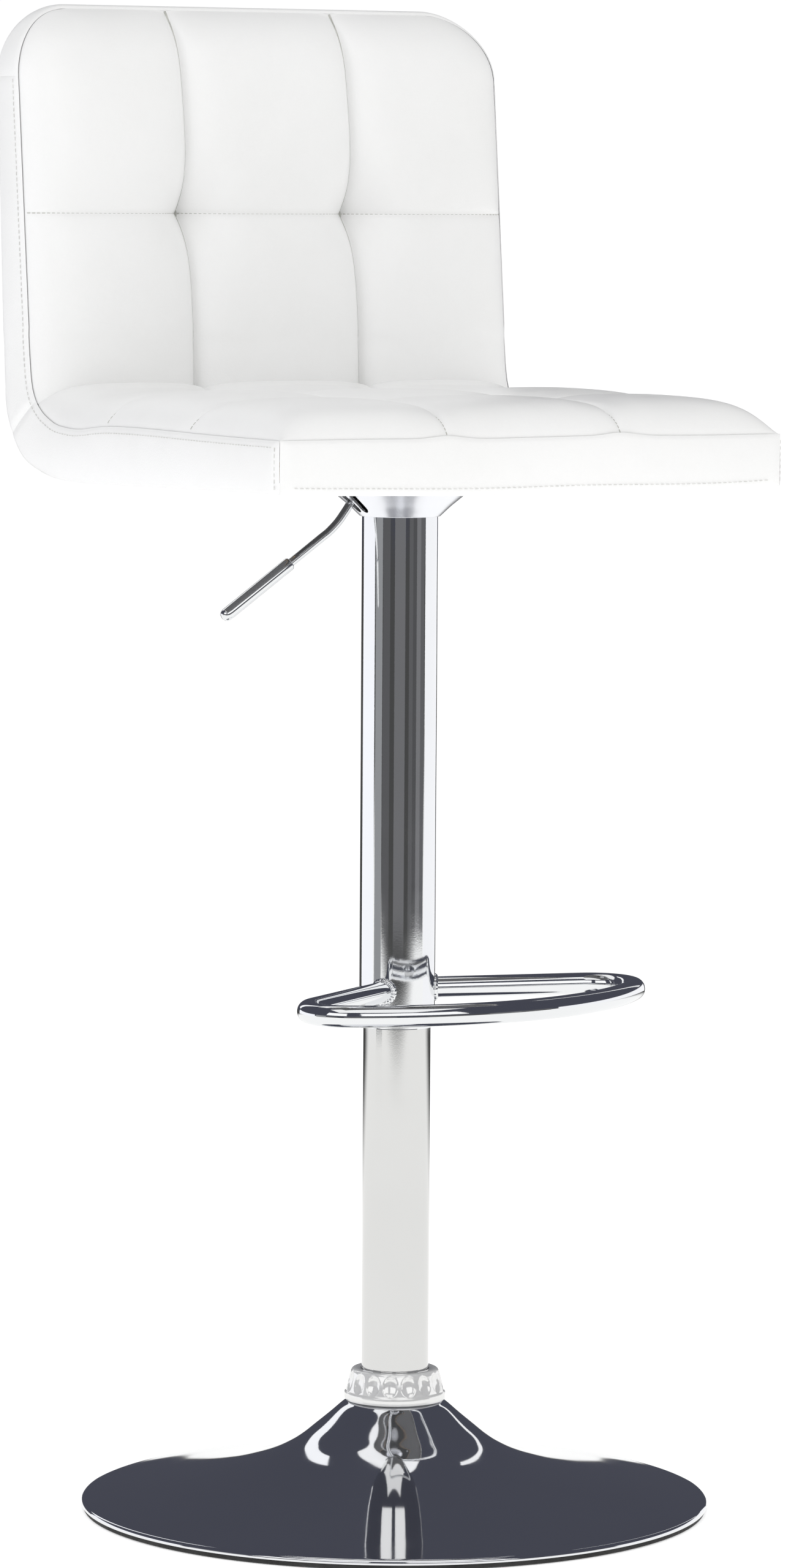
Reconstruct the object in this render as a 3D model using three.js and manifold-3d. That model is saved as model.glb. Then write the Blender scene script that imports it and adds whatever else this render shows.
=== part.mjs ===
// Adjustable swivel stool: a quilted leatherette seat and back on a gas-lift column over a trumpet base.
// Millimetres, +Z up, front towards -Y. Everything is built about the swivel axis, and the finished group
// is moved along Y so that the origin lies under the middle of the stool's footprint, on the floor.
import * as THREE from "three";
import { mergeVertices } from "three/addons/utils/BufferGeometryUtils.js";
import Module from "manifold-3d";

const wasm = await Module();
wasm.setup();

// ---- driving dimensions -------------------------------------------------------------------------
const GAP = 0.3; // clearance between touching pieces

const BASE_R = 225; // rim radius of the trumpet base
const BASE_SHEET = 2; // thickness of the spun base sheet
const RIM_TOP = 8; // height of the rolled rim
const FLOOR_RING_H = 3.5; // rubber ring under the rim
const BALLAST_H = 3.2; // ballast plate thickness

const COLUMN_R = 24; // lower (fixed) column
const COLUMN_WALL = 1.7;
const COLUMN_TOP = 470;
const COLUMN_FOOT = 12;
const COLLAR_R_BOTTOM = 36.3;
const COLLAR_R_TOP = 30.4;
const COLLAR_LIP_Z = 78.5;
const COLLAR_LIP_H = 6;
const COLLAR_TOP = 101;
const COLLAR_FLUTES = 16;

const TUBE_R = 27; // upper (moving) cover tube
const TUBE_WALL = 1.2;
const TUBE_FOOT = 348;
const BELL_Z = 712; // where the bell cover meets the upper tube
const BELL_TOP = 743.4;
const BELL_R = 59;
const BELL_WALL = 1.4;
const SLOT_W = 7; // lever slots in the bell
const SLOT_STEP = 14; // degrees between the two slots

const ROD_R = 5; // piston rod
const CYL_R = 14; // gas cylinder
const CYL_FOOT = 285;
const CYL_TOP = 722;
const HUB_R = TUBE_R - TUBE_WALL - GAP;
const PIN_R = 4;

const FOOT_Z = 375; // footrest height above the floor
const FOOT_TUBE_R = 7.7;
const FOOT_FRONT = 153; // from the axis to the middle of the front bar
const FOOT_ARC_R = 210; // radius of the front bar
const FOOT_BEND_R = 29.8; // radius of the two end bends
const FOOT_YAW = 10.8; // the footrest is turned this far from the seat's centre line

const SEAT_W = 393; // width over the side gussets
const FRONT_Y = -193; // front face
const SEAM_Z = 774.5; // upper seam of the side gusset
const SKIRT_Z = 737.5; // lower edge of the seat
const CROWN = 23; // how far the seat cushion stands above its seam
const BACK_TOP = 1072; // upper seam of the back
const BACK_FOOT_Y = 196; // front face of the back just above the seat
const BACK_LEAN = 0.1; // run of the back per unit of height
const BACK_THICK = 31; // depth of the back at the top
const TOP_CORNER_R = 50; // upper corners of the back, seen from the front
const BOARD_T = 12; // bent plywood
const BOARD_MARGIN = 12; // the board stays this far inside the gussets
const BOARD_Z = 747;

const PLATE_X = 100; // half sizes of the steel seat plate
const PLATE_Y = 80;
const PLATE_T = 3;
const BOLT_X = 80;
const BOLT_Y = 62;
const BOLT_R = 3;

const LEVER_R = 3;
const LEVER_PIVOT_X = -13;
const LEVER_Z = 732;
const LEVER_KNEE_X = -37; // where the lever leaves the bell
const LEVER_KNEE_Z = 724.6;
const LEVER_BEND_X = -53; // corner of its bend, below the bell
const LEVER_BEND_Z = 704.6;
const LEVER_TIP_X = -138;
const LEVER_TIP_Z = 645;
const GRIP_R = 4.7;
const GRIP_LENGTH = 65;

const GROUP = new THREE.Group();

// ---- helpers ------------------------------------------------------------------------------------
const mat = (color, roughness, metalness) =>
  new THREE.MeshStandardMaterial({ color, roughness, metalness });
const CHROME = mat(0xd8dadd, 0.08, 1);
const SATIN = mat(0xc9cbd0, 0.3, 1);
const STEEL = mat(0x9a9da2, 0.4, 1);
const BLACK_STEEL = mat(0x1d1d20, 0.5, 0.4);
const RUBBER = mat(0x1b1b1c, 0.85, 0);
const PLASTIC = mat(0x232326, 0.5, 0);
const PLY = mat(0xc79a63, 0.7, 0);
const LEATHER = mat(0xeeefee, 0.42, 0);
const CLOTH = mat(0x202023, 0.95, 0);

function add(name, geometry, material) {
  const m = new THREE.Mesh(geometry, material);
  m.name = name;
  GROUP.add(m);
  return m;
}

function solid(geometry) {
  const g = (geometry.index ? geometry.toNonIndexed() : geometry.clone());
  const bare = new THREE.BufferGeometry();
  bare.setAttribute("position", g.getAttribute("position"));
  const merged = mergeVertices(bare, 1e-3);
  return new wasm.Manifold(
    new wasm.Mesh({
      numProp: 3,
      vertProperties: merged.attributes.position.array,
      triVerts: new Uint32Array(merged.index.array),
    }),
  );
}

function geo(s) {
  const m = s.getMesh();
  const n = m.numProp;
  const v = new Float32Array(m.numVert * 3);
  for (let i = 0; i < m.numVert; i++)
    v.set(m.vertProperties.subarray(i * n, i * n + 3), i * 3);
  const g = new THREE.BufferGeometry();
  g.setAttribute("position", new THREE.BufferAttribute(v, 3));
  g.setIndex(new THREE.BufferAttribute(new Uint32Array(m.triVerts), 1));
  g.computeVertexNormals();
  return g;
}

// A closed [radius, height] profile turned about Z. The points run anticlockwise in the (radius, height) plane.
function turned(points, segments = 36) {
  const p = points.map(([r, z]) => new THREE.Vector2(r, z));
  let area = 0;
  for (let i = 0; i < p.length; i++) {
    const a = p[i];
    const b = p[(i + 1) % p.length];
    area += a.x * b.y - b.x * a.y;
  }
  if (area < 0) p.reverse();
  const axial = p.filter((q) => q.x < 1e-9).length >= 2;
  if (axial) {
    while (!(p[0].x < 1e-9 && p[p.length - 1].x < 1e-9)) p.push(p.shift());
  } else p.push(p[0].clone());
  const g = new THREE.LatheGeometry(p, segments);
  g.rotateX(Math.PI / 2);
  return g;
}

const ring = (r0, r1, z0, z1, segments = 36) =>
  turned([[r0, z0], [r1, z0], [r1, z1], [r0, z1]], segments);

const block = (x, y, z, cx = 0, cy = 0, cz = 0) =>
  new THREE.BoxGeometry(x, y, z).translate(cx, cy, cz);

function cylinderZ(r, z0, z1, cx = 0, cy = 0, segments = 32) {
  const g = new THREE.CylinderGeometry(r, r, z1 - z0, segments);
  g.rotateX(Math.PI / 2);
  return g.translate(cx, cy, (z0 + z1) / 2);
}

function cylinderY(r, y0, y1, cx, cz, segments = 24) {
  const g = new THREE.CylinderGeometry(r, r, y1 - y0, segments);
  return g.translate(cx, (y0 + y1) / 2, cz);
}

function circleShape(r, segments) {
  const s = new THREE.Shape();
  for (let i = 0; i < segments; i++) {
    const a = (2 * Math.PI * i) / segments;
    if (i) s.lineTo(r * Math.cos(a), r * Math.sin(a));
    else s.moveTo(r, 0);
  }
  s.closePath();
  return s;
}

// A round bar along a list of 3-D points.
function bar(points, r, segments = 20, steps = Math.round((points.length - 1) * 1.4)) {
  const smooth = new THREE.CatmullRomCurve3(points, false, "centripetal");
  return new THREE.ExtrudeGeometry(circleShape(r, segments), {
    steps,
    extrudePath: smooth,
    bevelEnabled: false,
    curveSegments: segments,
  });
}

// A polygon in the (Y, Z) plane drawn out along X between two planes.
function slab(points, x0, x1) {
  const s = new THREE.Shape(points.map(([y, z]) => new THREE.Vector2(y, z)));
  const g = new THREE.ExtrudeGeometry(s, { depth: x1 - x0, bevelEnabled: false });
  // (y, z, depth) becomes (x, y, z)
  const m = new THREE.Matrix4().set(0, 0, 1, x0, 1, 0, 0, 0, 0, 1, 0, 0, 0, 0, 0, 1);
  return g.applyMatrix4(m);
}

// A polygon in the (X, Z) plane drawn out along Y between two planes.
function slabXZ(points, y0, y1) {
  const s = new THREE.Shape(points.map(([x, z]) => new THREE.Vector2(x, z)));
  const g = new THREE.ExtrudeGeometry(s, { depth: y1 - y0, bevelEnabled: false });
  const m = new THREE.Matrix4().set(1, 0, 0, 0, 0, 0, -1, y1, 0, 1, 0, 0, 0, 0, 0, 1);
  return g.applyMatrix4(m);
}

// A polygon in the (X, Y) plane drawn out along Z.
function slabXY(points, z0, z1) {
  const s = new THREE.Shape(points.map(([x, y]) => new THREE.Vector2(x, y)));
  return new THREE.ExtrudeGeometry(s, { depth: z1 - z0, bevelEnabled: false }).translate(0, 0, z0);
}

function roundedRect(x0, y0, x1, y1, r, n = 6) {
  const out = [];
  const corner = (cx, cy, a0) => {
    for (let i = 0; i <= n; i++) {
      const a = a0 + ((Math.PI / 2) * i) / n;
      out.push([cx + r * Math.cos(a), cy + r * Math.sin(a)]);
    }
  };
  corner(x1 - r, y1 - r, 0);
  corner(x0 + r, y1 - r, Math.PI / 2);
  corner(x0 + r, y0 + r, Math.PI);
  corner(x1 - r, y0 + r, 1.5 * Math.PI);
  return out;
}

// The same outline moved inwards (positive) or outwards (negative); the outline runs anticlockwise.
function inset(points, d) {
  const n = points.length;
  return points.map((p, i) => {
    const a = points[(i + n - 1) % n];
    const b = points[(i + 1) % n];
    const e1 = [p[0] - a[0], p[1] - a[1]];
    const e2 = [b[0] - p[0], b[1] - p[1]];
    const l1 = Math.hypot(...e1);
    const l2 = Math.hypot(...e2);
    const n1 = [-e1[1] / l1, e1[0] / l1];
    const n2 = [-e2[1] / l2, e2[0] / l2];
    const k = 1 + n1[0] * n2[0] + n1[1] * n2[1];
    return [p[0] + (d * (n1[0] + n2[0])) / k, p[1] + (d * (n1[1] + n2[1])) / k];
  });
}

// ---- base ---------------------------------------------------------------------------------------
// Outer line of the trumpet from the neck to the rim: [radius, height].
const FLARE = [
  [27.4, 86], [29.4, 83], [34.4, 78.2], [39.2, 74.4], [47.7, 67], [57.4, 59], [67, 51.2],
  [76, 45.2], [88, 39], [103, 33.2], [124, 26.8], [150, 20.6], [180, 14.8], [208, 10.3], [0.98 * BASE_R, RIM_TOP + 0.2],
];
const flareScale = (BASE_R - 27.4) / (225 - 27.4);
const outer = FLARE.slice(0, -1)
  .map(([r, z]) => [27.4 + (r - 27.4) * flareScale, z])
  .concat([[BASE_R - 4.4, RIM_TOP + 0.25], [BASE_R - 2, RIM_TOP - 0.2], [BASE_R - 0.6, RIM_TOP - 1.2], [BASE_R, RIM_TOP - 2.6]]);
const inner = outer.slice(0, -3).map(([r, z], i) => {
  const a = outer[Math.max(i - 1, 0)];
  const b = outer[i + 1];
  const l = Math.hypot(b[0] - a[0], b[1] - a[1]);
  return [r + ((b[1] - a[1]) / l) * BASE_SHEET, z - ((b[0] - a[0]) / l) * BASE_SHEET];
}).filter((p, i) => i < 2 || i % 2);
add(
  "base_shell",
  turned([
    ...inner,
    [BASE_R - 3.4, RIM_TOP - 2.4],
    [BASE_R - 3.4, FLOOR_RING_H + GAP],
    [BASE_R, FLOOR_RING_H + GAP],
    ...outer.slice().reverse(),
  ], 48),
  CHROME,
);
add(
  "floor_ring",
  turned([
    [BASE_R - 26, 0.8], [BASE_R - 22, 0], [BASE_R - 4, 0], [BASE_R - 1.6, 0.8],
    [BASE_R - 1.6, FLOOR_RING_H], [BASE_R - 26, FLOOR_RING_H],
  ], 48),
  RUBBER,
);
const BALLAST_Z = FLOOR_RING_H + GAP;
const BALLAST_TOP = BALLAST_Z + BALLAST_H;
add("ballast_plate", ring(26, BASE_R - 16, BALLAST_Z, BALLAST_TOP, 48), BLACK_STEEL);

// The socket stands on the ballast plate and carries the foot of the column on a ledge.
add(
  "column_socket",
  turned([
    [12, BALLAST_TOP + GAP], [44, BALLAST_TOP + GAP], [44, BALLAST_TOP + GAP + 3.4], [30.6, BALLAST_TOP + GAP + 5.4],
    [28.6, 56], [COLUMN_R + GAP, 56], [COLUMN_R + GAP, COLUMN_FOOT - GAP], [12, COLUMN_FOOT - GAP],
  ]),
  BLACK_STEEL,
);
add("lower_column", ring(COLUMN_R - COLUMN_WALL, COLUMN_R, COLUMN_FOOT, COLUMN_TOP), CHROME);

{
  // Collar: a stack with scooped flutes over a plain lip ring. It drops over the neck of the base.
  const bore = COLUMN_R + GAP;
  const body = solid(
    turned([
      [bore, COLLAR_TOP - 10], [27.9, COLLAR_LIP_Z + 9.4], [30.9, COLLAR_LIP_Z + 5], [COLLAR_R_BOTTOM - 2, COLLAR_LIP_Z + 0.6],
      [COLLAR_R_BOTTOM - 0.6, COLLAR_LIP_Z], [COLLAR_R_BOTTOM, COLLAR_LIP_Z + 0.6],
      [COLLAR_R_BOTTOM, COLLAR_LIP_Z + COLLAR_LIP_H - 0.6], [COLLAR_R_BOTTOM - 1, COLLAR_LIP_Z + COLLAR_LIP_H + 0.4], [COLLAR_R_TOP + 2, COLLAR_TOP - 5.4],
      [COLLAR_R_TOP + 1.1, COLLAR_TOP - 2.4], [COLLAR_R_TOP - 0.3, COLLAR_TOP - 0.6], [COLLAR_R_TOP - 2, COLLAR_TOP],
      [bore, COLLAR_TOP],
    ], 40),
  );
  let fluted = body;
  const slope = Math.atan2(COLLAR_R_BOTTOM - COLLAR_R_TOP - 3, COLLAR_TOP - COLLAR_LIP_Z - COLLAR_LIP_H - 4);
  for (let i = 0; i < COLLAR_FLUTES; i++) {
    const g = new THREE.SphereGeometry(1, 8, 6);
    g.scale(5.2, 4.7, 6.4);
    g.rotateY(-slope);
    g.translate((COLLAR_R_TOP + COLLAR_R_BOTTOM) / 2 + 3.7, 0, (COLLAR_TOP + COLLAR_LIP_Z + COLLAR_LIP_H) / 2 - 0.4);
    g.rotateZ((2 * Math.PI * (i + 0.5)) / COLLAR_FLUTES);
    fluted = fluted.subtract(solid(g));
  }
  add("base_collar", geo(fluted), CHROME);
}

// ---- swivel bearing and piston rod --------------------------------------------------------------
add("column_end_plate", ring(ROD_R + GAP, COLUMN_R - COLUMN_WALL - GAP, COLUMN_FOOT, COLUMN_FOOT + 6), STEEL);
const RACE_Z = COLUMN_FOOT + 6 + GAP;
const BALL_R = 3;
const BALL_PITCH_R = 10.6;
const BALL_Z = RACE_Z + 3 + GAP + BALL_R;
add("bearing_lower_race", ring(ROD_R + 0.8, 15, RACE_Z, RACE_Z + 3), STEEL);
{
  let cage = solid(ring(7.4, 13.8, BALL_Z - 1, BALL_Z + 1, 36));
  for (let i = 0; i < 9; i++) {
    const a = (2 * Math.PI * i) / 9;
    cage = cage.add(
      solid(new THREE.SphereGeometry(BALL_R, 8, 5).translate(BALL_PITCH_R * Math.cos(a), BALL_PITCH_R * Math.sin(a), BALL_Z)),
    );
  }
  add("bearing_ball_cage", geo(cage), STEEL);
}
const UPPER_RACE_Z = BALL_Z + BALL_R + GAP;
add("bearing_upper_race", ring(ROD_R + GAP, 15, UPPER_RACE_Z, UPPER_RACE_Z + 3), STEEL);
const ROD_COLLAR_Z = UPPER_RACE_Z + 3 + GAP;
add("rod_collar", ring(ROD_R + GAP, 13, ROD_COLLAR_Z, ROD_COLLAR_Z + 5, 36), STEEL);
add("rubber_bumper", turned([
  [ROD_R + GAP, ROD_COLLAR_Z + 5 + GAP], [12, ROD_COLLAR_Z + 5 + GAP], [13, ROD_COLLAR_Z + 9],
  [11.4, ROD_COLLAR_Z + 14], [13, ROD_COLLAR_Z + 19], [12, ROD_COLLAR_Z + 24], [ROD_R + GAP, ROD_COLLAR_Z + 24],
], 36), RUBBER);
add("rod_clip", ring(ROD_R + GAP, 9.4, COLUMN_FOOT - GAP - 2, COLUMN_FOOT - GAP, 32), STEEL);
const PISTON_Z = CYL_FOOT + 15.5;
add("piston_rod", cylinderZ(ROD_R, COLUMN_FOOT - 5.5, PISTON_Z + 10, 0, 0, 32), CHROME);
add("piston", turned([
  [ROD_R + GAP, PISTON_Z], [11.6, PISTON_Z], [12.2, PISTON_Z + 1], [12.2, PISTON_Z + 9], [11.6, PISTON_Z + 10],
  [ROD_R + GAP, PISTON_Z + 10],
], 36), BLACK_STEEL);
add("guide_bush", turned([
  [CYL_R + GAP, COLUMN_TOP - 85], [COLUMN_R - COLUMN_WALL - GAP, COLUMN_TOP - 85], [COLUMN_R - COLUMN_WALL - GAP, COLUMN_TOP + GAP],
  [COLUMN_R - 0.4, COLUMN_TOP + GAP], [COLUMN_R - 0.4, COLUMN_TOP + 3], [CYL_R + GAP, COLUMN_TOP + 3],
]), PLASTIC);

// ---- gas cylinder -------------------------------------------------------------------------------
const CYL_BORE = 12.5;
add("gas_cylinder", turned([
  [CYL_BORE, CYL_FOOT], [CYL_R, CYL_FOOT], [CYL_R, CYL_TOP - 34], [CYL_R - 0.8, CYL_TOP], [PIN_R + GAP, CYL_TOP],
  [PIN_R + GAP, CYL_TOP - 30], [0, CYL_TOP - 30], [0, CYL_TOP - 60], [CYL_BORE - 1, CYL_TOP - 60], [CYL_BORE, CYL_TOP - 62],
]), BLACK_STEEL);
add("cylinder_seal", ring(ROD_R + GAP, CYL_BORE - GAP, CYL_FOOT + 1, CYL_FOOT + 13, 36), RUBBER);
add("release_pin", turned([
  [0, CYL_TOP - 24], [PIN_R, CYL_TOP - 24], [PIN_R, LEVER_Z - LEVER_R - 1.6], [PIN_R - 1, LEVER_Z - LEVER_R - GAP],
  [0, LEVER_Z - LEVER_R - GAP],
], 24), STEEL);

// ---- upper tube, footrest and bell --------------------------------------------------------------
const HUB_FOOT = CYL_TOP - 30;
add("upper_tube", ring(TUBE_R - TUBE_WALL, TUBE_R, TUBE_FOOT, BELL_Z + 3.4), CHROME);
add("tube_guide_ring", ring(COLUMN_R + GAP, TUBE_R - TUBE_WALL - GAP, TUBE_FOOT + 1, TUBE_FOOT + 31), PLASTIC);

// Middle line of the footrest's right half, from the tube to the middle of the front bar.
const halfFootrest = [];
{
  const A = new THREE.Vector2(19, -11);
  const B = new THREE.Vector2(121.5, -57.3);
  const d = B.clone().sub(A).normalize();
  const right = new THREE.Vector2(d.y, -d.x);
  const c = new THREE.Vector2(0, -FOOT_FRONT + FOOT_ARC_R);
  const o = A.clone().addScaledVector(right, FOOT_BEND_R).sub(c);
  const b = o.dot(d);
  const s = -b + Math.sqrt(b * b - o.lengthSq() + (FOOT_ARC_R - FOOT_BEND_R) ** 2);
  const centre = A.clone().addScaledVector(d, s).addScaledVector(right, FOOT_BEND_R);
  const start = centre.clone().addScaledVector(right, -FOOT_BEND_R);
  const e = centre.clone().sub(c).normalize();
  const end = centre.clone().addScaledVector(e, FOOT_BEND_R);
  const a1 = Math.atan2(start.y - centre.y, start.x - centre.x);
  let a2 = Math.atan2(end.y - centre.y, end.x - centre.x);
  if (a2 > a1) a2 -= 2 * Math.PI;
  halfFootrest.push(A, A.clone().lerp(start, 0.5));
  for (let i = 0; i <= 7; i++) {
    const a = a1 + ((a2 - a1) * i) / 7;
    halfFootrest.push(new THREE.Vector2(centre.x + FOOT_BEND_R * Math.cos(a), centre.y + FOOT_BEND_R * Math.sin(a)));
  }
  const b1 = Math.atan2(end.y - c.y, end.x - c.x);
  for (let i = 1; i <= 5; i++) {
    const a = b1 + ((-Math.PI / 2 - b1) * i) / 5;
    halfFootrest.push(new THREE.Vector2(c.x + FOOT_ARC_R * Math.cos(a), c.y + FOOT_ARC_R * Math.sin(a)));
  }
}
const footPoints = [
  ...halfFootrest.map((p) => new THREE.Vector3(p.x, p.y, FOOT_Z)),
  ...halfFootrest.slice(0, -1).reverse().map((p) => new THREE.Vector3(-p.x, p.y, FOOT_Z)),
];
const footYaw = THREE.MathUtils.degToRad(FOOT_YAW);
const turnFoot = (g) => g.rotateZ(footYaw);
const tubeClear = solid(cylinderZ(TUBE_R + GAP, TUBE_FOOT - 20, FOOT_Z + 60, 0, 0, 96));
{
  const whole = solid(turnFoot(bar(footPoints, FOOT_TUBE_R, 14))).subtract(tubeClear);
  add("footrest_bar", geo(whole), CHROME);
}
for (const side of [1, -1]) {
  // Weld bead where an arm meets the tube: a short cone around the arm.
  const A = halfFootrest[0];
  const B = halfFootrest[1];
  const dir = new THREE.Vector3(side * (B.x - A.x), B.y - A.y, 0).normalize();
  const at = new THREE.Vector3(side * A.x, A.y, FOOT_Z);
  const cone = new THREE.CylinderGeometry(FOOT_TUBE_R + 0.9, FOOT_TUBE_R + 3.4, 16, 20);
  cone.applyQuaternion(new THREE.Quaternion().setFromUnitVectors(new THREE.Vector3(0, 1, 0), dir));
  cone.translate(at.x + dir.x * 6.5, at.y + dir.y * 6.5, FOOT_Z);
  const hole = new THREE.CylinderGeometry(FOOT_TUBE_R + GAP, FOOT_TUBE_R + GAP, 60, 24);
  hole.applyQuaternion(new THREE.Quaternion().setFromUnitVectors(new THREE.Vector3(0, 1, 0), dir));
  hole.translate(at.x, at.y, FOOT_Z);
  const bead = solid(turnFoot(cone)).subtract(solid(turnFoot(hole))).subtract(tubeClear);
  const parts = bead.decompose().sort((a, b) => b.volume() - a.volume());
  add(side > 0 ? "footrest_weld_right" : "footrest_weld_left", geo(parts[0]), CHROME);
}

{
  // Bell cover: a cup that flares from the tube up to the seat plate, with two slots on the lever's side.
  const line = [
    [TUBE_R + GAP, BELL_Z], [28.6, BELL_Z], [30.2, BELL_Z + 1.6], [35.6, BELL_Z + 6.6], [41.6, BELL_Z + 11.6],
    [48.6, BELL_Z + 17.4], [54.4, BELL_Z + 22.6], [58, BELL_Z + 28], [BELL_R, BELL_TOP],
  ];
  const insideLine = line.slice(2).map(([r, z]) => [r - BELL_WALL * 1.1, Math.min(z + BELL_WALL * 0.9, BELL_TOP)]);
  insideLine.pop();
  const back = [[BELL_R - BELL_WALL, BELL_TOP], ...insideLine.reverse(), [TUBE_R + GAP, BELL_Z + 2.6]];
  let bell = solid(turned([...line, ...back], 40));
  for (const [turn, z0, z1] of [[0, BELL_Z + 3, BELL_TOP + 4], [SLOT_STEP, BELL_Z + 3, BELL_Z + 24]]) {
    const s = roundedRect(-SLOT_W / 2, z0, SLOT_W / 2, z1, SLOT_W / 2 - 0.01, 5);
    const g = slabXZ(s, -75, -22);
    g.rotateZ(-Math.PI / 2 + THREE.MathUtils.degToRad(turn));
    bell = bell.subtract(solid(g));
  }
  add("bell_cover", geo(bell), SATIN);
}

// ---- seat plate with hub ------------------------------------------------------------------------
const PLATE_Z = BOARD_Z - GAP - PLATE_T;
{
  const hub = solid(turned([
    [CYL_R + GAP, HUB_FOOT], [HUB_R, HUB_FOOT], [HUB_R, BELL_Z + 10], [CYL_R + GAP, BELL_Z + 10],
  ]));
  let plate = solid(slabXY(roundedRect(-PLATE_X, -PLATE_Y, PLATE_X, PLATE_Y, 14, 5), PLATE_Z, PLATE_Z + PLATE_T));
  for (const y of [1, -1])
    plate = plate.add(solid(block(36, 3, PLATE_Z - BELL_Z - 8 + 1, 0, y * 21, (PLATE_Z + BELL_Z + 8 + 1) / 2)));
  plate = plate.add(hub);
  plate = plate.subtract(solid(cylinderY(2 + GAP, -30, 30, LEVER_PIVOT_X, LEVER_Z)));
  for (const x of [1, -1])
    for (const y of [1, -1])
      plate = plate.subtract(solid(cylinderZ(BOLT_R + GAP, PLATE_Z - 2, PLATE_Z + PLATE_T + 2, x * BOLT_X, y * BOLT_Y, 20)));
  add("seat_plate", geo(plate), BLACK_STEEL);
}

// ---- lever --------------------------------------------------------------------------------------
{
  const P = (x, z) => new THREE.Vector3(x, 0, z);
  const knee = P(LEVER_KNEE_X, LEVER_KNEE_Z);
  const tip = P(LEVER_TIP_X, LEVER_TIP_Z);
  const bend = P(LEVER_BEND_X, LEVER_BEND_Z);
  const d = tip.clone().sub(bend).normalize();
  const points = [P(9, LEVER_Z), P(-4, LEVER_Z), P(-18, LEVER_Z - 0.2), P(-28, LEVER_Z - 2.6), knee,
    knee.clone().lerp(bend, 0.45), knee.clone().lerp(bend, 0.8), bend.clone().addScaledVector(d, 5),
    bend.clone().addScaledVector(d, 14), bend.clone().addScaledVector(d, 50), tip];
  let rod = solid(bar(points, LEVER_R, 14, 24));
  rod = rod.add(solid(cylinderY(5, -9, 9, LEVER_PIVOT_X, LEVER_Z, 24)));
  rod = rod.subtract(solid(cylinderY(2 + GAP, -12, 12, LEVER_PIVOT_X, LEVER_Z, 24)));
  add("lever_rod", geo(rod), CHROME);
  add("lever_pivot_pin", cylinderY(2, -26, 26, LEVER_PIVOT_X, LEVER_Z, 20), STEEL);
  const grip = turned([
    [LEVER_R + GAP, 0], [GRIP_R - 0.8, 0], [GRIP_R, 0.9], [GRIP_R, GRIP_LENGTH - 4], [GRIP_R - 1.4, GRIP_LENGTH - 1.2],
    [GRIP_R - 3, GRIP_LENGTH], [0, GRIP_LENGTH], [0, GRIP_LENGTH - 3.2], [LEVER_R + GAP, GRIP_LENGTH - 3.2],
  ], 28);
  grip.applyQuaternion(new THREE.Quaternion().setFromUnitVectors(new THREE.Vector3(0, 0, 1), d));
  const start = tip.clone().addScaledVector(d, -(GRIP_LENGTH - 3.2 - GAP));
  grip.translate(start.x, start.y, start.z);
  add("lever_grip", grip, CHROME);
}

// ---- seat and back frame ------------------------------------------------------------------------
// Side outline of the whole upholstered shell, in (Y, Z), anticlockwise from the lower front.
const backY = (z) => BACK_FOOT_Y + BACK_LEAN * (z - 795);
const BACK_REAR_TOP = backY(BACK_TOP) + BACK_THICK;
const SEAT_CURVE_R = 32; // inner corner between seat and back
const REAR_CURVE_R = 52; // outer corner under the back
const SIDE_FRONT = [];
{
  // Upper/front line: along the gusset's upper seam, through the inner corner and up the back.
  const c = [backY(SEAM_Z + SEAT_CURVE_R) - SEAT_CURVE_R, SEAM_Z + SEAT_CURVE_R];
  SIDE_FRONT.push([FRONT_Y, SEAM_Z]);
  for (let i = 0; i <= 6; i++) {
    const a = -Math.PI / 2 + ((Math.PI / 2) * i) / 6;
    SIDE_FRONT.push([c[0] + SEAT_CURVE_R * Math.cos(a), c[1] + SEAT_CURVE_R * Math.sin(a)]);
  }
  SIDE_FRONT.push([backY(BACK_TOP), BACK_TOP]);
}
const REAR_FOOT = 240; // rear face just above the lower corner
const rearY = (z) => REAR_FOOT + ((BACK_REAR_TOP - REAR_FOOT) * (z - SKIRT_Z - REAR_CURVE_R - 8)) / (BACK_TOP - SKIRT_Z - REAR_CURVE_R - 8);
const SIDE_REAR = [[BACK_REAR_TOP, BACK_TOP]];
{
  SIDE_REAR.push([REAR_FOOT, SKIRT_Z + REAR_CURVE_R + 8]);
  for (let i = 0; i <= 6; i++) {
    const a = (-(Math.PI / 2) * i) / 6;
    SIDE_REAR.push([REAR_FOOT - REAR_CURVE_R * (1 - Math.cos(a)), SKIRT_Z - 3 + REAR_CURVE_R + REAR_CURVE_R * Math.sin(a)]);
  }
  SIDE_REAR.push([60, SKIRT_Z - 3]);
  SIDE_REAR.push([FRONT_Y, SKIRT_Z]);
}
// Thickness of the covering panels.
const SKIN = 2.4;
const half = SEAT_W / 2;
const profile = SIDE_REAR.slice().reverse();
// Anticlockwise: lower front -> rear bottom -> up the rear -> top -> down the front -> seat surface.
const SIDE = [...profile, ...SIDE_FRONT.slice().reverse()];

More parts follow.
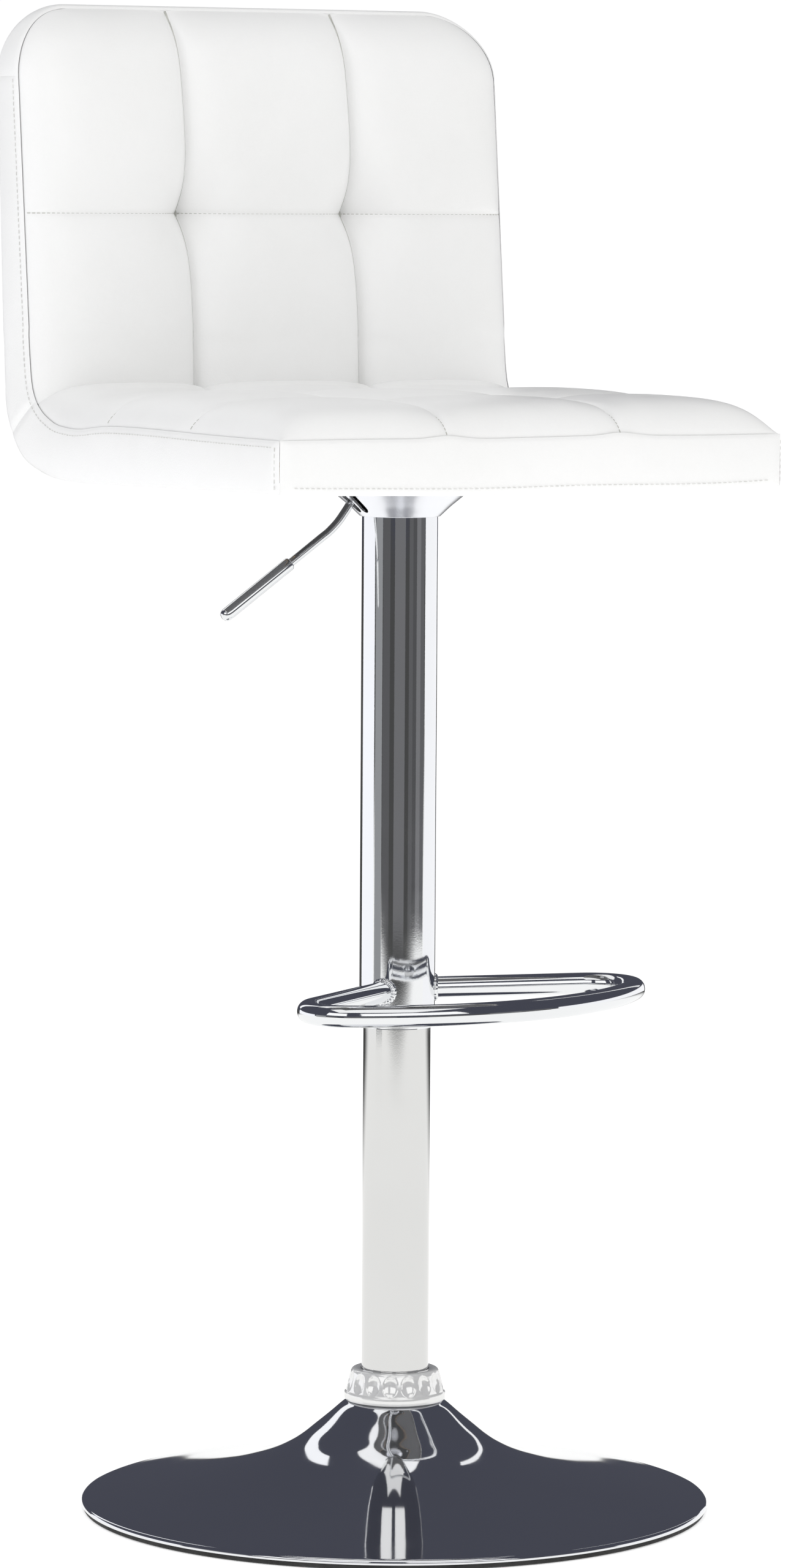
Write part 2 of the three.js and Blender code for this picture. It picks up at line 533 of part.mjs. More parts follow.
// Bent board inside: parallel to the shell.
const boardLower = BOARD_Z;
const boardUpper = BOARD_Z + BOARD_T;
const boardBackFront = (z) => backY(z) + 15;
const boardBackRear = (z) => boardBackFront(z) + BOARD_T;
const BOARD = [];
{
  const R = 36;
  BOARD.push([FRONT_Y + 9, boardLower]);
  const cy = boardBackRear(boardLower + R) - R;
  for (let i = 0; i <= 6; i++) {
    const a = -Math.PI / 2 + ((Math.PI / 2) * i) / 6;
    BOARD.push([cy + R * Math.cos(a), boardLower + R + R * Math.sin(a)]);
  }
  BOARD.push([boardBackRear(BACK_TOP - 20), BACK_TOP - 20]);
  BOARD.push([boardBackFront(BACK_TOP - 20), BACK_TOP - 20]);
  const r = R - BOARD_T;
  for (let i = 6; i >= 0; i--) {
    const a = -Math.PI / 2 + ((Math.PI / 2) * i) / 6;
    BOARD.push([cy + r * Math.cos(a), boardLower + R + r * Math.sin(a)]);
  }
  BOARD.push([FRONT_Y + 9, boardUpper]);
}
const boardHalf = half - BOARD_MARGIN;
// Outline of the back as seen from the front, used to round its upper corners.
const frontMask = (grow, y0, y1, top, r) => {
  const pts = [[-half - grow, SKIRT_Z - 60], [half + grow, SKIRT_Z - 60]];
  const n = 8;
  for (let i = 0; i <= n; i++) {
    const a = ((Math.PI / 2) * i) / n;
    pts.push([half + grow - r + r * Math.cos(a), top - r + r * Math.sin(a)]);
  }
  for (let i = 0; i <= n; i++) {
    const a = Math.PI / 2 + ((Math.PI / 2) * i) / n;
    pts.push([-half - grow + r + r * Math.cos(a), top - r + r * Math.sin(a)]);
  }
  return solid(slabXZ(pts, y0, y1));
};
{
  let board = solid(slab(BOARD, -boardHalf, boardHalf));
  board = board.intersect(frontMask(-BOARD_MARGIN, -400, 400, BACK_TOP - 20, TOP_CORNER_R - 10));
  for (const x of [1, -1])
    for (const y of [1, -1]) {
      board = board.subtract(solid(cylinderZ(4.4, boardLower - 2, boardUpper + 2, x * BOLT_X, y * BOLT_Y, 20)));
      board = board.subtract(solid(cylinderZ(9.6, boardUpper - 1.9, boardUpper + 2, x * BOLT_X, y * BOLT_Y, 24)));
    }
  add("bent_board", geo(board), PLY);
}

// Fasteners: bolt and washer below the plate, T-nut in the board.
let count = 0;
for (const x of [-1, 1])
  for (const y of [-1, 1]) {
    count++;
    const cx = x * BOLT_X;
    const cy = y * BOLT_Y;
    const move = (g) => g.translate(cx, cy, 0);
    add("washer_" + count, move(ring(BOLT_R + GAP, 7, PLATE_Z - GAP - 1.2, PLATE_Z - GAP, 20)), STEEL);
    const head = PLATE_Z - 2 * GAP - 1.2;
    let bolt = solid(turned([
      [0, head - 4], [4.6, head - 4], [5.2, head - 3.4], [5.2, head], [BOLT_R, head], [BOLT_R, boardUpper - 2.6], [0, boardUpper - 2.6],
    ], 20));
    bolt = bolt.subtract(solid(new THREE.CylinderGeometry(2.3, 2.3, 6, 6).rotateX(Math.PI / 2).translate(0, 0, head - 4)));
    add("bolt_" + count, move(geo(bolt)), STEEL);
    add("t_nut_" + count, move(turned([
      [BOLT_R + GAP, boardLower + 2], [4.1, boardLower + 2], [4.1, boardUpper - 1.9 + GAP], [9.3, boardUpper - 1.9 + GAP],
      [9.3, boardUpper - GAP], [BOLT_R + GAP, boardUpper - GAP],
    ], 20)), STEEL);
  }

// ---- upholstery ---------------------------------------------------------------------------------
// Side gussets: flat panels with the side outline.
const boardHole = solid(slab(inset(BOARD, -GAP), -boardHalf - GAP, boardHalf + GAP));
for (const side of [1, -1]) {
  const x0 = half - SKIN;
  const g = side > 0 ? slab(SIDE, x0, half) : slab(SIDE, -half, -x0);
  const cut = solid(slab([[-400, 600], [400, 600], [400, BACK_TOP - TOP_CORNER_R], [-400, BACK_TOP - TOP_CORNER_R]], -half - 5, half + 5));
  add(side > 0 ? "gusset_right" : "gusset_left", geo(solid(g).intersect(cut)), LEATHER);
}
const innerHalf = half - SKIN - GAP;
// Everything that the top band wraps lies inside this outline.
const underBand = () => frontMask(-SKIN - GAP, -400, 400, BACK_TOP - SKIN - GAP, TOP_CORNER_R - SKIN - GAP);
{
  // Front band closes the front of the seat, from gusset to gusset.
  add(
    "front_band",
    slab([[FRONT_Y, SKIRT_Z - 2.4], [FRONT_Y + SKIN, SKIRT_Z - 2.4], [FRONT_Y + SKIN, SEAM_Z - 1], [FRONT_Y, SEAM_Z]], -innerHalf, innerHalf),
    LEATHER,
  );
  // Rear cover: the plain panel behind the back, round the lower corner and under the rear of the seat.
  const line = SIDE_REAR.slice(0, -1);
  const insideRear = inset([...line, [60, SKIRT_Z + 400], [60, BACK_TOP]].reverse(), SKIN)
    .reverse()
    .slice(0, line.length);
  insideRear[0] = [line[0][0] - SKIN, BACK_TOP];
  insideRear[insideRear.length - 1] = [60, line[line.length - 1][1] + SKIN];
  const poly = [...line, ...insideRear.slice().reverse()];
  let rear = solid(slab(poly.slice().reverse(), -innerHalf, innerHalf));
  rear = rear.intersect(underBand());
  add("rear_cover", geo(rear), LEATHER);
}

// Quilted cushions: a grid surface that swells between the seams.
// xs and ss are the seam positions across and along, including the two ends.
function swell(xs, ss, x, s, height) {
  const cell = (list, v) => {
    for (let i = 0; i + 1 < list.length; i++)
      if (v <= list[i + 1] + 1e-9) return Math.min(Math.max((v - list[i]) / (list[i + 1] - list[i]), 0), 1);
    return 1;
  };
  const bump = (t) => Math.pow(Math.max(4 * t * (1 - t), 0), 0.45);
  return height * bump(cell(xs, x)) * bump(cell(ss, s));
}

// A closed cushion between a lower line and the swollen upper surface over the same grid.
function cushion(line, normals, lower, ss, xs, height, divisions, edgeLift) {
  const rows = line.length;
  const cols = divisions;
  const positions = [];
  const top = [];
  const bottom = [];
  for (let j = 0; j < rows; j++) {
    top.push([]);
    bottom.push([]);
    for (let i = 0; i <= cols; i++) {
      const x = -innerHalf + (2 * innerHalf * i) / cols;
      const h = swell(xs, ss.seams, x, ss.at[j], height) + edgeLift;
      top[j].push(positions.length / 3);
      positions.push(x, line[j][0] + normals[j][0] * h, line[j][1] + normals[j][1] * h);
      bottom[j].push(positions.length / 3);
      positions.push(x, lower[j][0], lower[j][1]);
    }
  }
  const index = [];
  const quad = (a, b, c, d) => index.push(a, b, c, a, c, d);
  for (let j = 0; j + 1 < rows; j++)
    for (let i = 0; i < cols; i++) {
      quad(top[j][i], top[j][i + 1], top[j + 1][i + 1], top[j + 1][i]);
      quad(bottom[j][i], bottom[j + 1][i], bottom[j + 1][i + 1], bottom[j][i + 1]);
    }
  for (let i = 0; i < cols; i++) {
    quad(bottom[0][i], bottom[0][i + 1], top[0][i + 1], top[0][i]);
    quad(top[rows - 1][i], top[rows - 1][i + 1], bottom[rows - 1][i + 1], bottom[rows - 1][i]);
  }
  for (let j = 0; j + 1 < rows; j++) {
    quad(bottom[j][0], top[j][0], top[j + 1][0], bottom[j + 1][0]);
    quad(top[j][cols], bottom[j][cols], bottom[j + 1][cols], top[j + 1][cols]);
  }
  const g = new THREE.BufferGeometry();
  g.setAttribute("position", new THREE.BufferAttribute(new Float32Array(positions), 3));
  g.setIndex(index);
  return g;
}

const SPLIT = [SIDE_FRONT[3][0], SIDE_FRONT[3][1]]; // where the seat cushion meets the back cushion, in the inner corner
const xSeams = [-innerHalf, -SEAT_W * 0.18, SEAT_W * 0.18, innerHalf];
{
  // Seat cushion: from the front edge to the inner corner. Its lower face lies on the board.
  const y0 = FRONT_Y + SKIN + GAP;
  const y1 = SPLIT[0] - 1;
  const rows = 21;
  const line = [];
  const lower = [];
  const at = [];
  const normals = [];
  for (let j = 0; j <= rows; j++) {
    const y = y0 + ((y1 - y0) * j) / rows;
    at.push(y);
    line.push([y, SEAM_Z + Math.max(0, y - 120) * 0.1]);
    lower.push([y, boardUpper + GAP]);
    normals.push([0, 1]);
  }
  const seams = [y0, FRONT_Y + 136, FRONT_Y + 266, y1];
  const g = cushion(line, normals, lower, { seams, at }, xSeams, CROWN, 21, 0);
  let pad = solid(g);
  if (pad.volume() < 0) throw new Error("seat cushion is inside out");
  pad = pad.subtract(boardHole);
  add("seat_cushion", geo(pad.decompose().sort((a, b) => b.volume() - a.volume())[0]), LEATHER);
}
{
  // Back cushion: from the inner corner up to the upper seam, in front of the board.
  const rows = 21;
  const line = [];
  const lower = [];
  const at = [];
  const normals = [];
  const z0 = SPLIT[1] + 3;
  for (let j = 0; j <= rows; j++) {
    const z = z0 + ((BACK_TOP - 1 - z0) * j) / rows;
    at.push(z);
    const corner = Math.max(0, 1 - (z - SEAM_Z) / SEAT_CURVE_R);
    line.push([backY(z) - SEAT_CURVE_R * 0.45 * corner * corner, z]);
    lower.push([boardBackFront(z) - GAP, z]);
    normals.push([-1, 0]);
  }
  const seams = [z0, 921, BACK_TOP - 1];
  const g = cushion(line, normals, lower, { seams, at }, xSeams, CROWN - 3, 21, 0);
  let pad = solid(g);
  pad = pad.intersect(underBand());
  pad = pad.subtract(boardHole);
  add("back_cushion", geo(pad.decompose().sort((a, b) => b.volume() - a.volume())[0]), LEATHER);
}
{
  // Top band: closes the back above and between its cushion and its rear cover, and turns down at the corners.
  const outerMask = frontMask(0, -400, 400, BACK_TOP + 3.6, TOP_CORNER_R);
  const innerMask = frontMask(-SKIN, -400, 400, BACK_TOP - SKIN, TOP_CORNER_R - SKIN);
  const z0 = BACK_TOP - TOP_CORNER_R + GAP;
  const s = [[backY(z0), z0], [rearY(z0), z0], [rearY(BACK_TOP), BACK_TOP + 5], [backY(BACK_TOP + 5), BACK_TOP + 5]];
  const band = solid(slab(s, -half - 4, half + 4)).intersect(outerMask).subtract(innerMask);
  add("top_band", geo(band.decompose().sort((a, b) => b.volume() - a.volume())[0]), LEATHER);
}
{
  // Dust cover under the seat board, open around the steel plate.
  const sheet = solid(slabXY(roundedRect(-innerHalf + 2, FRONT_Y + SKIN + 2, innerHalf - 2, 200, 12, 4), BOARD_Z - 1.1, BOARD_Z - GAP));
  const hole = solid(slabXY(roundedRect(-PLATE_X - 2, -PLATE_Y - 2, PLATE_X + 2, PLATE_Y + 2, 15, 4), BOARD_Z - 5, BOARD_Z + 5));
  add("dust_cover", geo(sheet.subtract(hole)), CLOTH);
}

// The frame's origin: on the floor under the middle of the footprint.
const box = new THREE.Box3().setFromObject(GROUP);
GROUP.position.y = -(box.min.y + box.max.y) / 2;
GROUP.updateMatrixWorld(true);

export default GROUP;
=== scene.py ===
"""Adjustable swivel stool: chrome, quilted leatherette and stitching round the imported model."""

import math

import bmesh
import bpy
import numpy as np
from mathutils import Matrix, Vector


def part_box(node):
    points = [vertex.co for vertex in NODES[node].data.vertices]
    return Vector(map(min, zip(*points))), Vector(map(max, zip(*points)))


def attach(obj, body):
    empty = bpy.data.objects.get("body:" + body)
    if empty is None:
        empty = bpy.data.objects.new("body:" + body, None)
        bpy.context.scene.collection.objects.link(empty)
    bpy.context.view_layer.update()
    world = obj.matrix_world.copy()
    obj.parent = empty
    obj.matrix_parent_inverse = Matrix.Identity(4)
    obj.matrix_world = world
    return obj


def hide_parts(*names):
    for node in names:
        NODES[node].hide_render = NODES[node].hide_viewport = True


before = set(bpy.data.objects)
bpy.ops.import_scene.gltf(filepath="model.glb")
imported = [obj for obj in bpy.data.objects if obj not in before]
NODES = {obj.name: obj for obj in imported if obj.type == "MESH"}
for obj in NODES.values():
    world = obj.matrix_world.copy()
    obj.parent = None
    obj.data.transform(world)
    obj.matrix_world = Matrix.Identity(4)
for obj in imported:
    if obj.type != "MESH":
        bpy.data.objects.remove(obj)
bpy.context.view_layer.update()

MM = 0.001


def middle(node):
    lo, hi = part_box(node)
    return (lo + hi) / 2


AY = middle("lower_column").y  # where the swivel axis stands

# ------------------------ measures, in mm about the swivel axis
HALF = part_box("gusset_right")[1].x / MM          # half of the seat's width
FRONT = (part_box("gusset_right")[0].y - AY) / MM  # front corner of the seat
REAR_TOP = (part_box("top_band")[1].y - AY) / MM   # rear of the back, at its top
TOP = 1072.0       # top seam of the back
SEAM = 774.5       # seam along the seat's upper edge
SKIRT = 737.5      # seam along the seat's lower edge
CORNER = 50.0      # radius of the back's two upper corners
SEAM_X = 68.0      # the quilting seams that run along the seat and up the back
ROW_FRONT = -57.0  # the seat's front cross seam
ROW_REAR = 73.0    # the seat's rear cross seam
CREASE = 187.0     # where the seat's quilt meets the back's
BACK_FOOT = 786.5  # lower edge of the back's quilt
BACK_SEAM = 924.0  # the back's cross seam
UP = np.array([0, 0, 1.0])


def place(points):
    """Points in mm about the swivel axis, in the frame's metres."""
    p = np.asarray(points, float) * MM
    p[..., 1] += AY
    return p


# ------------------------ mesh helpers
def show(o):
    bpy.context.scene.collection.objects.link(o)
    return o


def shade_smooth(mesh):
    mesh.polygons.foreach_set("use_smooth", [True] * len(mesh.polygons))


def new_object(name, points, faces, smooth=True):
    """A mesh object from points in mm about the swivel axis."""
    mesh = bpy.data.meshes.new(name)
    corners = [tuple(p) for p in place(points).reshape(-1, 3)]
    mesh.from_pydata(corners, [], [tuple(int(i) for i in f) for f in faces])
    mesh.validate()
    if smooth:
        shade_smooth(mesh)
    return show(bpy.data.objects.new(name, mesh))


def grid_faces(n, m, close_n=False, close_m=False, start=0):
    """Quads over an n by m grid of points stored row by row."""
    out = []
    for i in range(n if close_n else n - 1):
        for j in range(m if close_m else m - 1):
            a, b = i * m + j, i * m + (j + 1) % m
            c, d = ((i + 1) % n) * m + (j + 1) % m, ((i + 1) % n) * m + j
            out.append((start + a, start + b, start + c, start + d))
    return out


def shell_faces(n, m):
    """Faces of a closed shell made of two n by m grids, the second behind the first."""
    k = n * m
    faces = grid_faces(n, m) + [q[::-1] for q in grid_faces(n, m, start=k)]
    for i in range(n - 1):
        a, b = i * m, (i + 1) * m
        faces.append((a, b, k + b, k + a))
        a, b = a + m - 1, b + m - 1
        faces.append((b, a, k + a, k + b))
    for j in range(m - 1):
        faces.append((j + 1, j, k + j, k + j + 1))
        a = (n - 1) * m + j
        faces.append((a, a + 1, k + a + 1, k + a))
    return faces


def outward(o):
    """Turns all faces outwards."""
    bm = bmesh.new()
    bm.from_mesh(o.data)
    bmesh.ops.recalc_face_normals(bm, faces=bm.faces)
    bm.to_mesh(o.data)
    bm.free()
    return o


def apply_modifiers(o):
    bpy.context.view_layer.update()
    graph = bpy.context.evaluated_depsgraph_get()
    mesh = bpy.data.meshes.new_from_object(o.evaluated_get(graph))
    o.modifiers.clear()
    old = o.data
    o.data = mesh
    bpy.data.meshes.remove(old)
    mesh.name = o.name
    shade_smooth(mesh)
    return o


def sharpen(o, degrees=40):
    """Keeps edges steeper than the angle sharp under smooth shading."""
    o.data.set_sharp_from_angle(angle=math.radians(degrees))
    return o


def lathe(name, profile, segments=160, warp=None):
    """A closed (radius, height) loop turned about the swivel axis. warp(r, z, angle) may move a point."""
    rows = []
    for t in np.linspace(0, 2 * math.pi, segments, endpoint=False):
        row = []
        for r, z in profile:
            if warp:
                r, z = warp(r, z, t)
            row.append((r * math.cos(t), r * math.sin(t), z))
        rows.append(row)
    faces = grid_faces(segments, len(profile), close_n=True, close_m=True)
    return sharpen(outward(new_object(name, rows, faces)), 42)


def spline(points, steps):
    """Catmull-Rom curve through the points, with a number of steps to each span."""
    p = np.asarray(points, float)
    q = np.vstack([2 * p[0] - p[1], p, 2 * p[-1] - p[-2]])
    out = []
    for i in range(1, len(q) - 2):
        before, here, there, after = q[i - 1: i + 3]
        square = 2 * before - 5 * here + 4 * there - after
        cube = 3 * here - before - 3 * there + after
        for k in range(steps):
            t = k / steps
            out.append(0.5 * (2 * here + (there - before) * t + square * t * t + cube * t ** 3))
    out.append(p[-1])
    return np.array(out)


def run_length(p):
    """Distance along a line at each of its points."""
    return np.concatenate([[0], np.cumsum(np.linalg.norm(np.diff(p, axis=0), axis=1))])


def evenly(points, count):
    """A line cut into evenly spaced points."""
    p = np.asarray(points, float)
    s = run_length(p)
    t = np.linspace(0, s[-1], count)
    return np.stack([np.interp(t, s, p[:, k]) for k in range(p.shape[1])], 1)


def resample(points, step):
    """A line cut into even steps of about the given length."""
    length = run_length(np.asarray(points, float))[-1]
    return evenly(points, max(int(round(length / step)), 2) + 1)


def unit_rows(v):
    return v / np.linalg.norm(v, axis=1)[:, None]


def frames_along(p):
    """Two cross directions along a path, without twist."""
    t = unit_rows(np.gradient(p, axis=0))
    n = np.cross(np.cross(t[0], UP), t[0])
    if np.linalg.norm(n) < 1e-6:
        n = np.cross(t[0], (1, 0, 0))
    n /= np.linalg.norm(n)
    normals = []
    for k in range(len(p)):
        n = n - t[k] * (n @ t[k])
        n /= np.linalg.norm(n)
        normals.append(n)
    normals = np.array(normals)
    return normals, np.cross(t, normals)


def sweep(name, path, radius, sides=32):
    """A round bar with closed ends along a path. radius is a number or one for each point."""
    p = np.asarray(path, float)
    n, b = frames_along(p)
    r = np.broadcast_to(np.asarray(radius, float), (len(p),))
    a = np.linspace(0, 2 * math.pi, sides, endpoint=False)
    ring = np.cos(a)[None, :, None] * n[:, None] + np.sin(a)[None, :, None] * b[:, None]
    points = (p[:, None] + ring * r[:, None, None]).reshape(-1, 3)
    points = np.vstack([points, p[:1], p[-1:]])
    faces = grid_faces(len(p), sides, close_m=True)
    last = (len(p) - 1) * sides
    for k in range(sides):
        faces.append((len(points) - 2, (k + 1) % sides, k))
        faces.append((len(points) - 1, last + k, last + (k + 1) % sides))
    return sharpen(outward(new_object(name, points, faces)), 50)


def cut(o, cutter):
    """Takes the cutter's volume out of a closed piece, and removes the cutter."""
    m = o.modifiers.new("cut", "BOOLEAN")
    m.object = cutter
    m.operation = "DIFFERENCE"
    m.solver = "EXACT"
    apply_modifiers(o)
    bpy.data.objects.remove(cutter)
    return sharpen(o, 40)


def join(name, objects):
    """One object out of several, with their meshes put together."""
    verts, faces = [], []
    for o in objects:
        start = len(verts)
        co = np.zeros(len(o.data.vertices) * 3)
        o.data.vertices.foreach_get("co", co)
        verts += [tuple(c) for c in co.reshape(-1, 3)]
        faces += [tuple(v + start for v in f.vertices) for f in o.data.polygons]
    mesh = bpy.data.meshes.new(name)
    mesh.from_pydata(verts, [], faces)
    shade_smooth(mesh)
    for o in objects:
        bpy.data.objects.remove(o)
    return sharpen(show(bpy.data.objects.new(name, mesh)), 45)


# ------------------------ materials
class Nodes:
    """A node material built step by step."""

    def __init__(self, name):
        self.mat = bpy.data.materials.new(name)
        self.mat.use_nodes = True
        self.tree = self.mat.node_tree
        self.tree.nodes.clear()
        out = self.tree.nodes.new("ShaderNodeOutputMaterial")
        self.bsdf = self.tree.nodes.new("ShaderNodeBsdfPrincipled")
        self.link(self.bsdf.outputs[0], out.inputs[0])
        self.coord = self.tree.nodes.new("ShaderNodeTexCoord")

    def set(self, **values):
        for k, v in values.items():
            self.bsdf.inputs[k.replace("_", " ")].default_value = v
        return self

    def node(self, kind, **values):
        n = self.tree.nodes.new(kind)
        for k, v in values.items():
            if hasattr(n, k):
                setattr(n, k, v)
            else:
                n.inputs[k.replace("_", " ")].default_value = v
        return n

    def link(self, a, b):
        self.tree.links.new(a, b)

    def shade(self, color, roughness, normal):
        self.link(color, self.bsdf.inputs["Base Color"])
        self.link(roughness, self.bsdf.inputs["Roughness"])
        self.link(normal, self.bsdf.inputs["Normal"])
        return self.mat

    def mapped(self, scale=(1, 1, 1)):
        m = self.node("ShaderNodeMapping")
        m.inputs["Scale"].default_value = scale
        self.link(self.coord.outputs["Object"], m.inputs["Vector"])
        return m.outputs["Vector"]

    def noise(self, scale, detail=4.0, roughness=0.55, stretch=(1, 1, 1)):
        n = self.node("ShaderNodeTexNoise", Scale=scale, Detail=detail, Roughness=roughness)
        self.link(self.mapped(stretch), n.inputs["Vector"])
        return n.outputs["Fac"]

    def ramp(self, fac, *stops):
        r = self.node("ShaderNodeValToRGB")
        marks = r.color_ramp.elements
        while len(marks) < len(stops):
            marks.new(0.5)
        for mark, (position, color) in zip(marks, stops):
            mark.position = position
            mark.color = (*color, 1)
        self.link(fac, r.inputs["Fac"])
        return r.outputs["Color"]

    def range(self, fac, lo, hi):
        """The middle of a noise's range, spread over lo to hi."""
        m = self.node("ShaderNodeMapRange")
        m.inputs["From Min"].default_value = 0.3
        m.inputs["From Max"].default_value = 0.7
        m.inputs["To Min"].default_value = lo
        m.inputs["To Max"].default_value = hi
        self.link(fac, m.inputs["Value"])
        return m.outputs["Result"]

    def bump(self, height, strength, distance, normal=None):
        b = self.node("ShaderNodeBump")
        b.inputs["Strength"].default_value = strength
        b.inputs["Distance"].default_value = distance
        self.link(height, b.inputs["Height"])
        if normal is not None:
            self.link(normal, b.inputs["Normal"])
        return b.outputs["Normal"]


def scaled(color, k):
    return [c * k for c in color]


def chrome(name, tint=(0.86, 0.87, 0.885), rough=(0.03, 0.075), metallic=1.0):
    """Polished plating with a faint smear and tone drift."""
    n = Nodes(name).set(Metallic=metallic)
    smear = n.noise(22, 5, 0.6)
    tone = n.ramp(n.noise(7, 3), (0.35, scaled(tint, 0.97)), (0.65, tint))
    return n.shade(tone, n.range(smear, *rough), n.bump(n.noise(900, 2, 0.5), 0.02, 0.0002))


def satin(name, tint, rough=(0.26, 0.4), stretch=(1, 1, 18)):
    """Plain machined metal, brushed along one direction."""
    n = Nodes(name).set(Metallic=1.0)
    brush = n.noise(160, 4, 0.6, stretch)
    tone = n.ramp(brush, (0.3, scaled(tint, 0.9)), (0.7, tint))
    return n.shade(tone, n.range(brush, *rough), n.bump(brush, 0.06, 0.0003))


def leatherette(name, tint, shade):
    """Coated fabric: a fine pebble grain, slight tone drift and a soft sheen."""
    n = Nodes(name).set(Coat_Weight=0.12, Coat_Roughness=0.35, Specular_IOR_Level=0.42)
    tone = n.ramp(n.noise(9, 4, 0.6), (0.34, shade), (0.62, tint))
    pebble = n.node("ShaderNodeTexVoronoi", feature="SMOOTH_F1", Scale=720.0, Smoothness=0.6)
    n.link(n.mapped(), pebble.inputs["Vector"])
    fold = n.bump(n.noise(95, 5, 0.62), 0.09, 0.0016)
    grain = n.bump(pebble.outputs["Distance"], 0.16, 0.0004, fold)
    return n.shade(tone, n.range(n.noise(40, 4), 0.36, 0.47), grain)


def coat(name, dark, light, rough, scale=320, depth=0.0003):
    """Paint, rubber, plastic, thread or painted seam shade: a fine uneven surface between two tones."""
    n = Nodes(name)
    fine = n.noise(scale, 5, 0.6)
    tone = n.ramp(n.noise(scale / 9, 4), (0.35, dark), (0.65, light))
    return n.shade(tone, n.range(fine, *rough), n.bump(fine, 0.25, depth))


def plywood(name):
    n = Nodes(name)
    plies = n.noise(60, 3, 0.5, (0.2, 0.2, 12))
    tone = n.ramp(plies, (0.3, (0.42, 0.27, 0.14)), (0.5, (0.62, 0.45, 0.27)), (0.7, (0.72, 0.55, 0.35)))
    return n.shade(tone, n.range(n.noise(200), 0.55, 0.75), n.bump(plies, 0.2, 0.0006))


def cloth(name):
    n = Nodes(name).set(Sheen_Weight=0.3)
    weave = n.node("ShaderNodeTexWave", Scale=900.0, Distortion=1.5)
    n.link(n.mapped(), weave.inputs["Vector"])
    tone = n.ramp(n.noise(400, 5), (0.3, (0.06, 0.06, 0.063)), (0.7, (0.13, 0.13, 0.135)))
    return n.shade(tone, n.range(n.noise(300), 0.85, 0.97), n.bump(weave.outputs["Fac"], 0.3, 0.0004))


M = {
    "chrome": chrome("chrome"),
    "column": chrome("chrome_column", tint=(0.73, 0.73, 0.725)),
    "disc": chrome("chrome_disc", tint=(0.84, 0.85, 0.875), rough=(0.03, 0.07)),
    "bell": chrome("bell_metal", tint=(0.92, 0.93, 0.97), rough=(0.17, 0.24), metallic=0.8),
    "pearl": chrome("pearl_chrome", tint=(0.95, 0.95, 0.94), rough=(0.06, 0.11), metallic=0.4),
    "steel": satin("zinc_steel", (0.6, 0.61, 0.63)),
    "black": coat("black_powder_coat", (0.018, 0.018, 0.02), (0.035, 0.035, 0.038), (0.4, 0.55)),
    "rubber": coat("black_rubber", (0.012, 0.012, 0.012), (0.026, 0.026, 0.026), (0.65, 0.85)),
    "plastic": coat("black_plastic", (0.02, 0.02, 0.022), (0.04, 0.04, 0.044), (0.4, 0.55), 500, 0.0002),
    "ply": plywood("bent_plywood"),
    "white": leatherette("white_leatherette", (0.885, 0.885, 0.88), (0.865, 0.865, 0.858)),
    "thread": coat("white_thread", (0.6, 0.6, 0.58), (0.74, 0.74, 0.72), (0.5, 0.7), 1500, 0.0002),
    # The seam fold colour is painted shade: a grey that stands for the shadow down in the quilting grooves.
    "crease": coat("painted_seam_shade", (0.43, 0.435, 0.4), (0.55, 0.55, 0.515), (0.5, 0.7), 900, 0.0002),
    "cloth": cloth("black_dust_cloth"),
}


def paint(o, material):
    o.data.materials.clear()
    o.data.materials.append(M[material])


def finish_piece(o, material, slot, body, *nodes):
    """Paints a piece, rides it on its body, and hides the nodes that it stands for."""
    paint(o, material)
    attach(o, body)
    if nodes:
        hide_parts(*nodes)
    return o


# ------------------------ metal: base and column
COLUMN_R = 24.0
COLUMN_WALL = 1.7
COLUMN_ENDS = (12, 470)
TUBE_R = 27.0
TUBE_WALL = 1.2
TUBE_ENDS = (348, 715.4)
PIPE_EDGE = 0.5        # chamfer on a pipe's rims
BASE_SHEET = (0.4, 2.0)  # the underside's offset from the top line, in and down

TOP_LINE = spline([(29.4, 83), (34.4, 78.2), (39.2, 74.4), (47.7, 67), (57.4, 59), (67, 51.2), (76, 45.2),
                   (88, 39), (103, 33.2), (124, 26.8), (150, 20.6), (180, 14.8), (208, 10.3),
                   (220.5, 8.2)], 6)
RIM = [(222.6, 7.9), (224.0, 7.2), (224.8, 6.1), (225.0, 5.0), (224.7, 4.1), (223.8, 3.8), (221.6, 3.8),
       (221.4, 5.6)]
UNDER = [(r - BASE_SHEET[0], z - BASE_SHEET[1]) for r, z in TOP_LINE[::-1][2::4]]
base = lathe("trumpet_base", [tuple(p) for p in TOP_LINE] + RIM + UNDER, 224)
finish_piece(base, "disc", "chrome", "base", "base_shell")

RING = [(199, 1.0), (203, 0), (221, 0), (223.0, 0.7), (223.4, 1.6), (223.3, 3.5), (199, 3.5)]
finish_piece(lathe("floor_ring_rubber", RING), "rubber", "rubber", "base", "floor_ring")


def pipe(name, r, wall, z0, z1):
    e = PIPE_EDGE
    bore = r - wall
    outside = [(r - e, z0), (r, z0 + e), (r, z0 + 2), (r, z1 - 2), (r, z1 - e), (r - e, z1)]
    inside = [(bore + 0.2, z1), (bore, z1 - e), (bore, z0 + e), (bore + 0.2, z0)]
    return lathe(name, outside + inside, 128)


lower = pipe("column_lower", COLUMN_R, COLUMN_WALL, *COLUMN_ENDS)
finish_piece(lower, "column", "chrome", "base", "lower_column")
upper = pipe("column_upper", TUBE_R, TUBE_WALL, *TUBE_ENDS)
finish_piece(upper, "chrome", "chrome", "seat", "upper_tube")

FLUTES = 16
FLUTE_FOOT = 85.2    # the scoops stay above the collar's plain lip
FLUTE_MIDDLE = 92.2
FLUTE_HALF_HEIGHT = 7.2
FLUTE_HALF_WIDTH = 0.40  # as a share of the spacing
FLUTE_DEPTH = 1.9
COLLAR_SKIN = 29     # points nearer to the axis belong to the bore
COLLAR_STEPS = 22


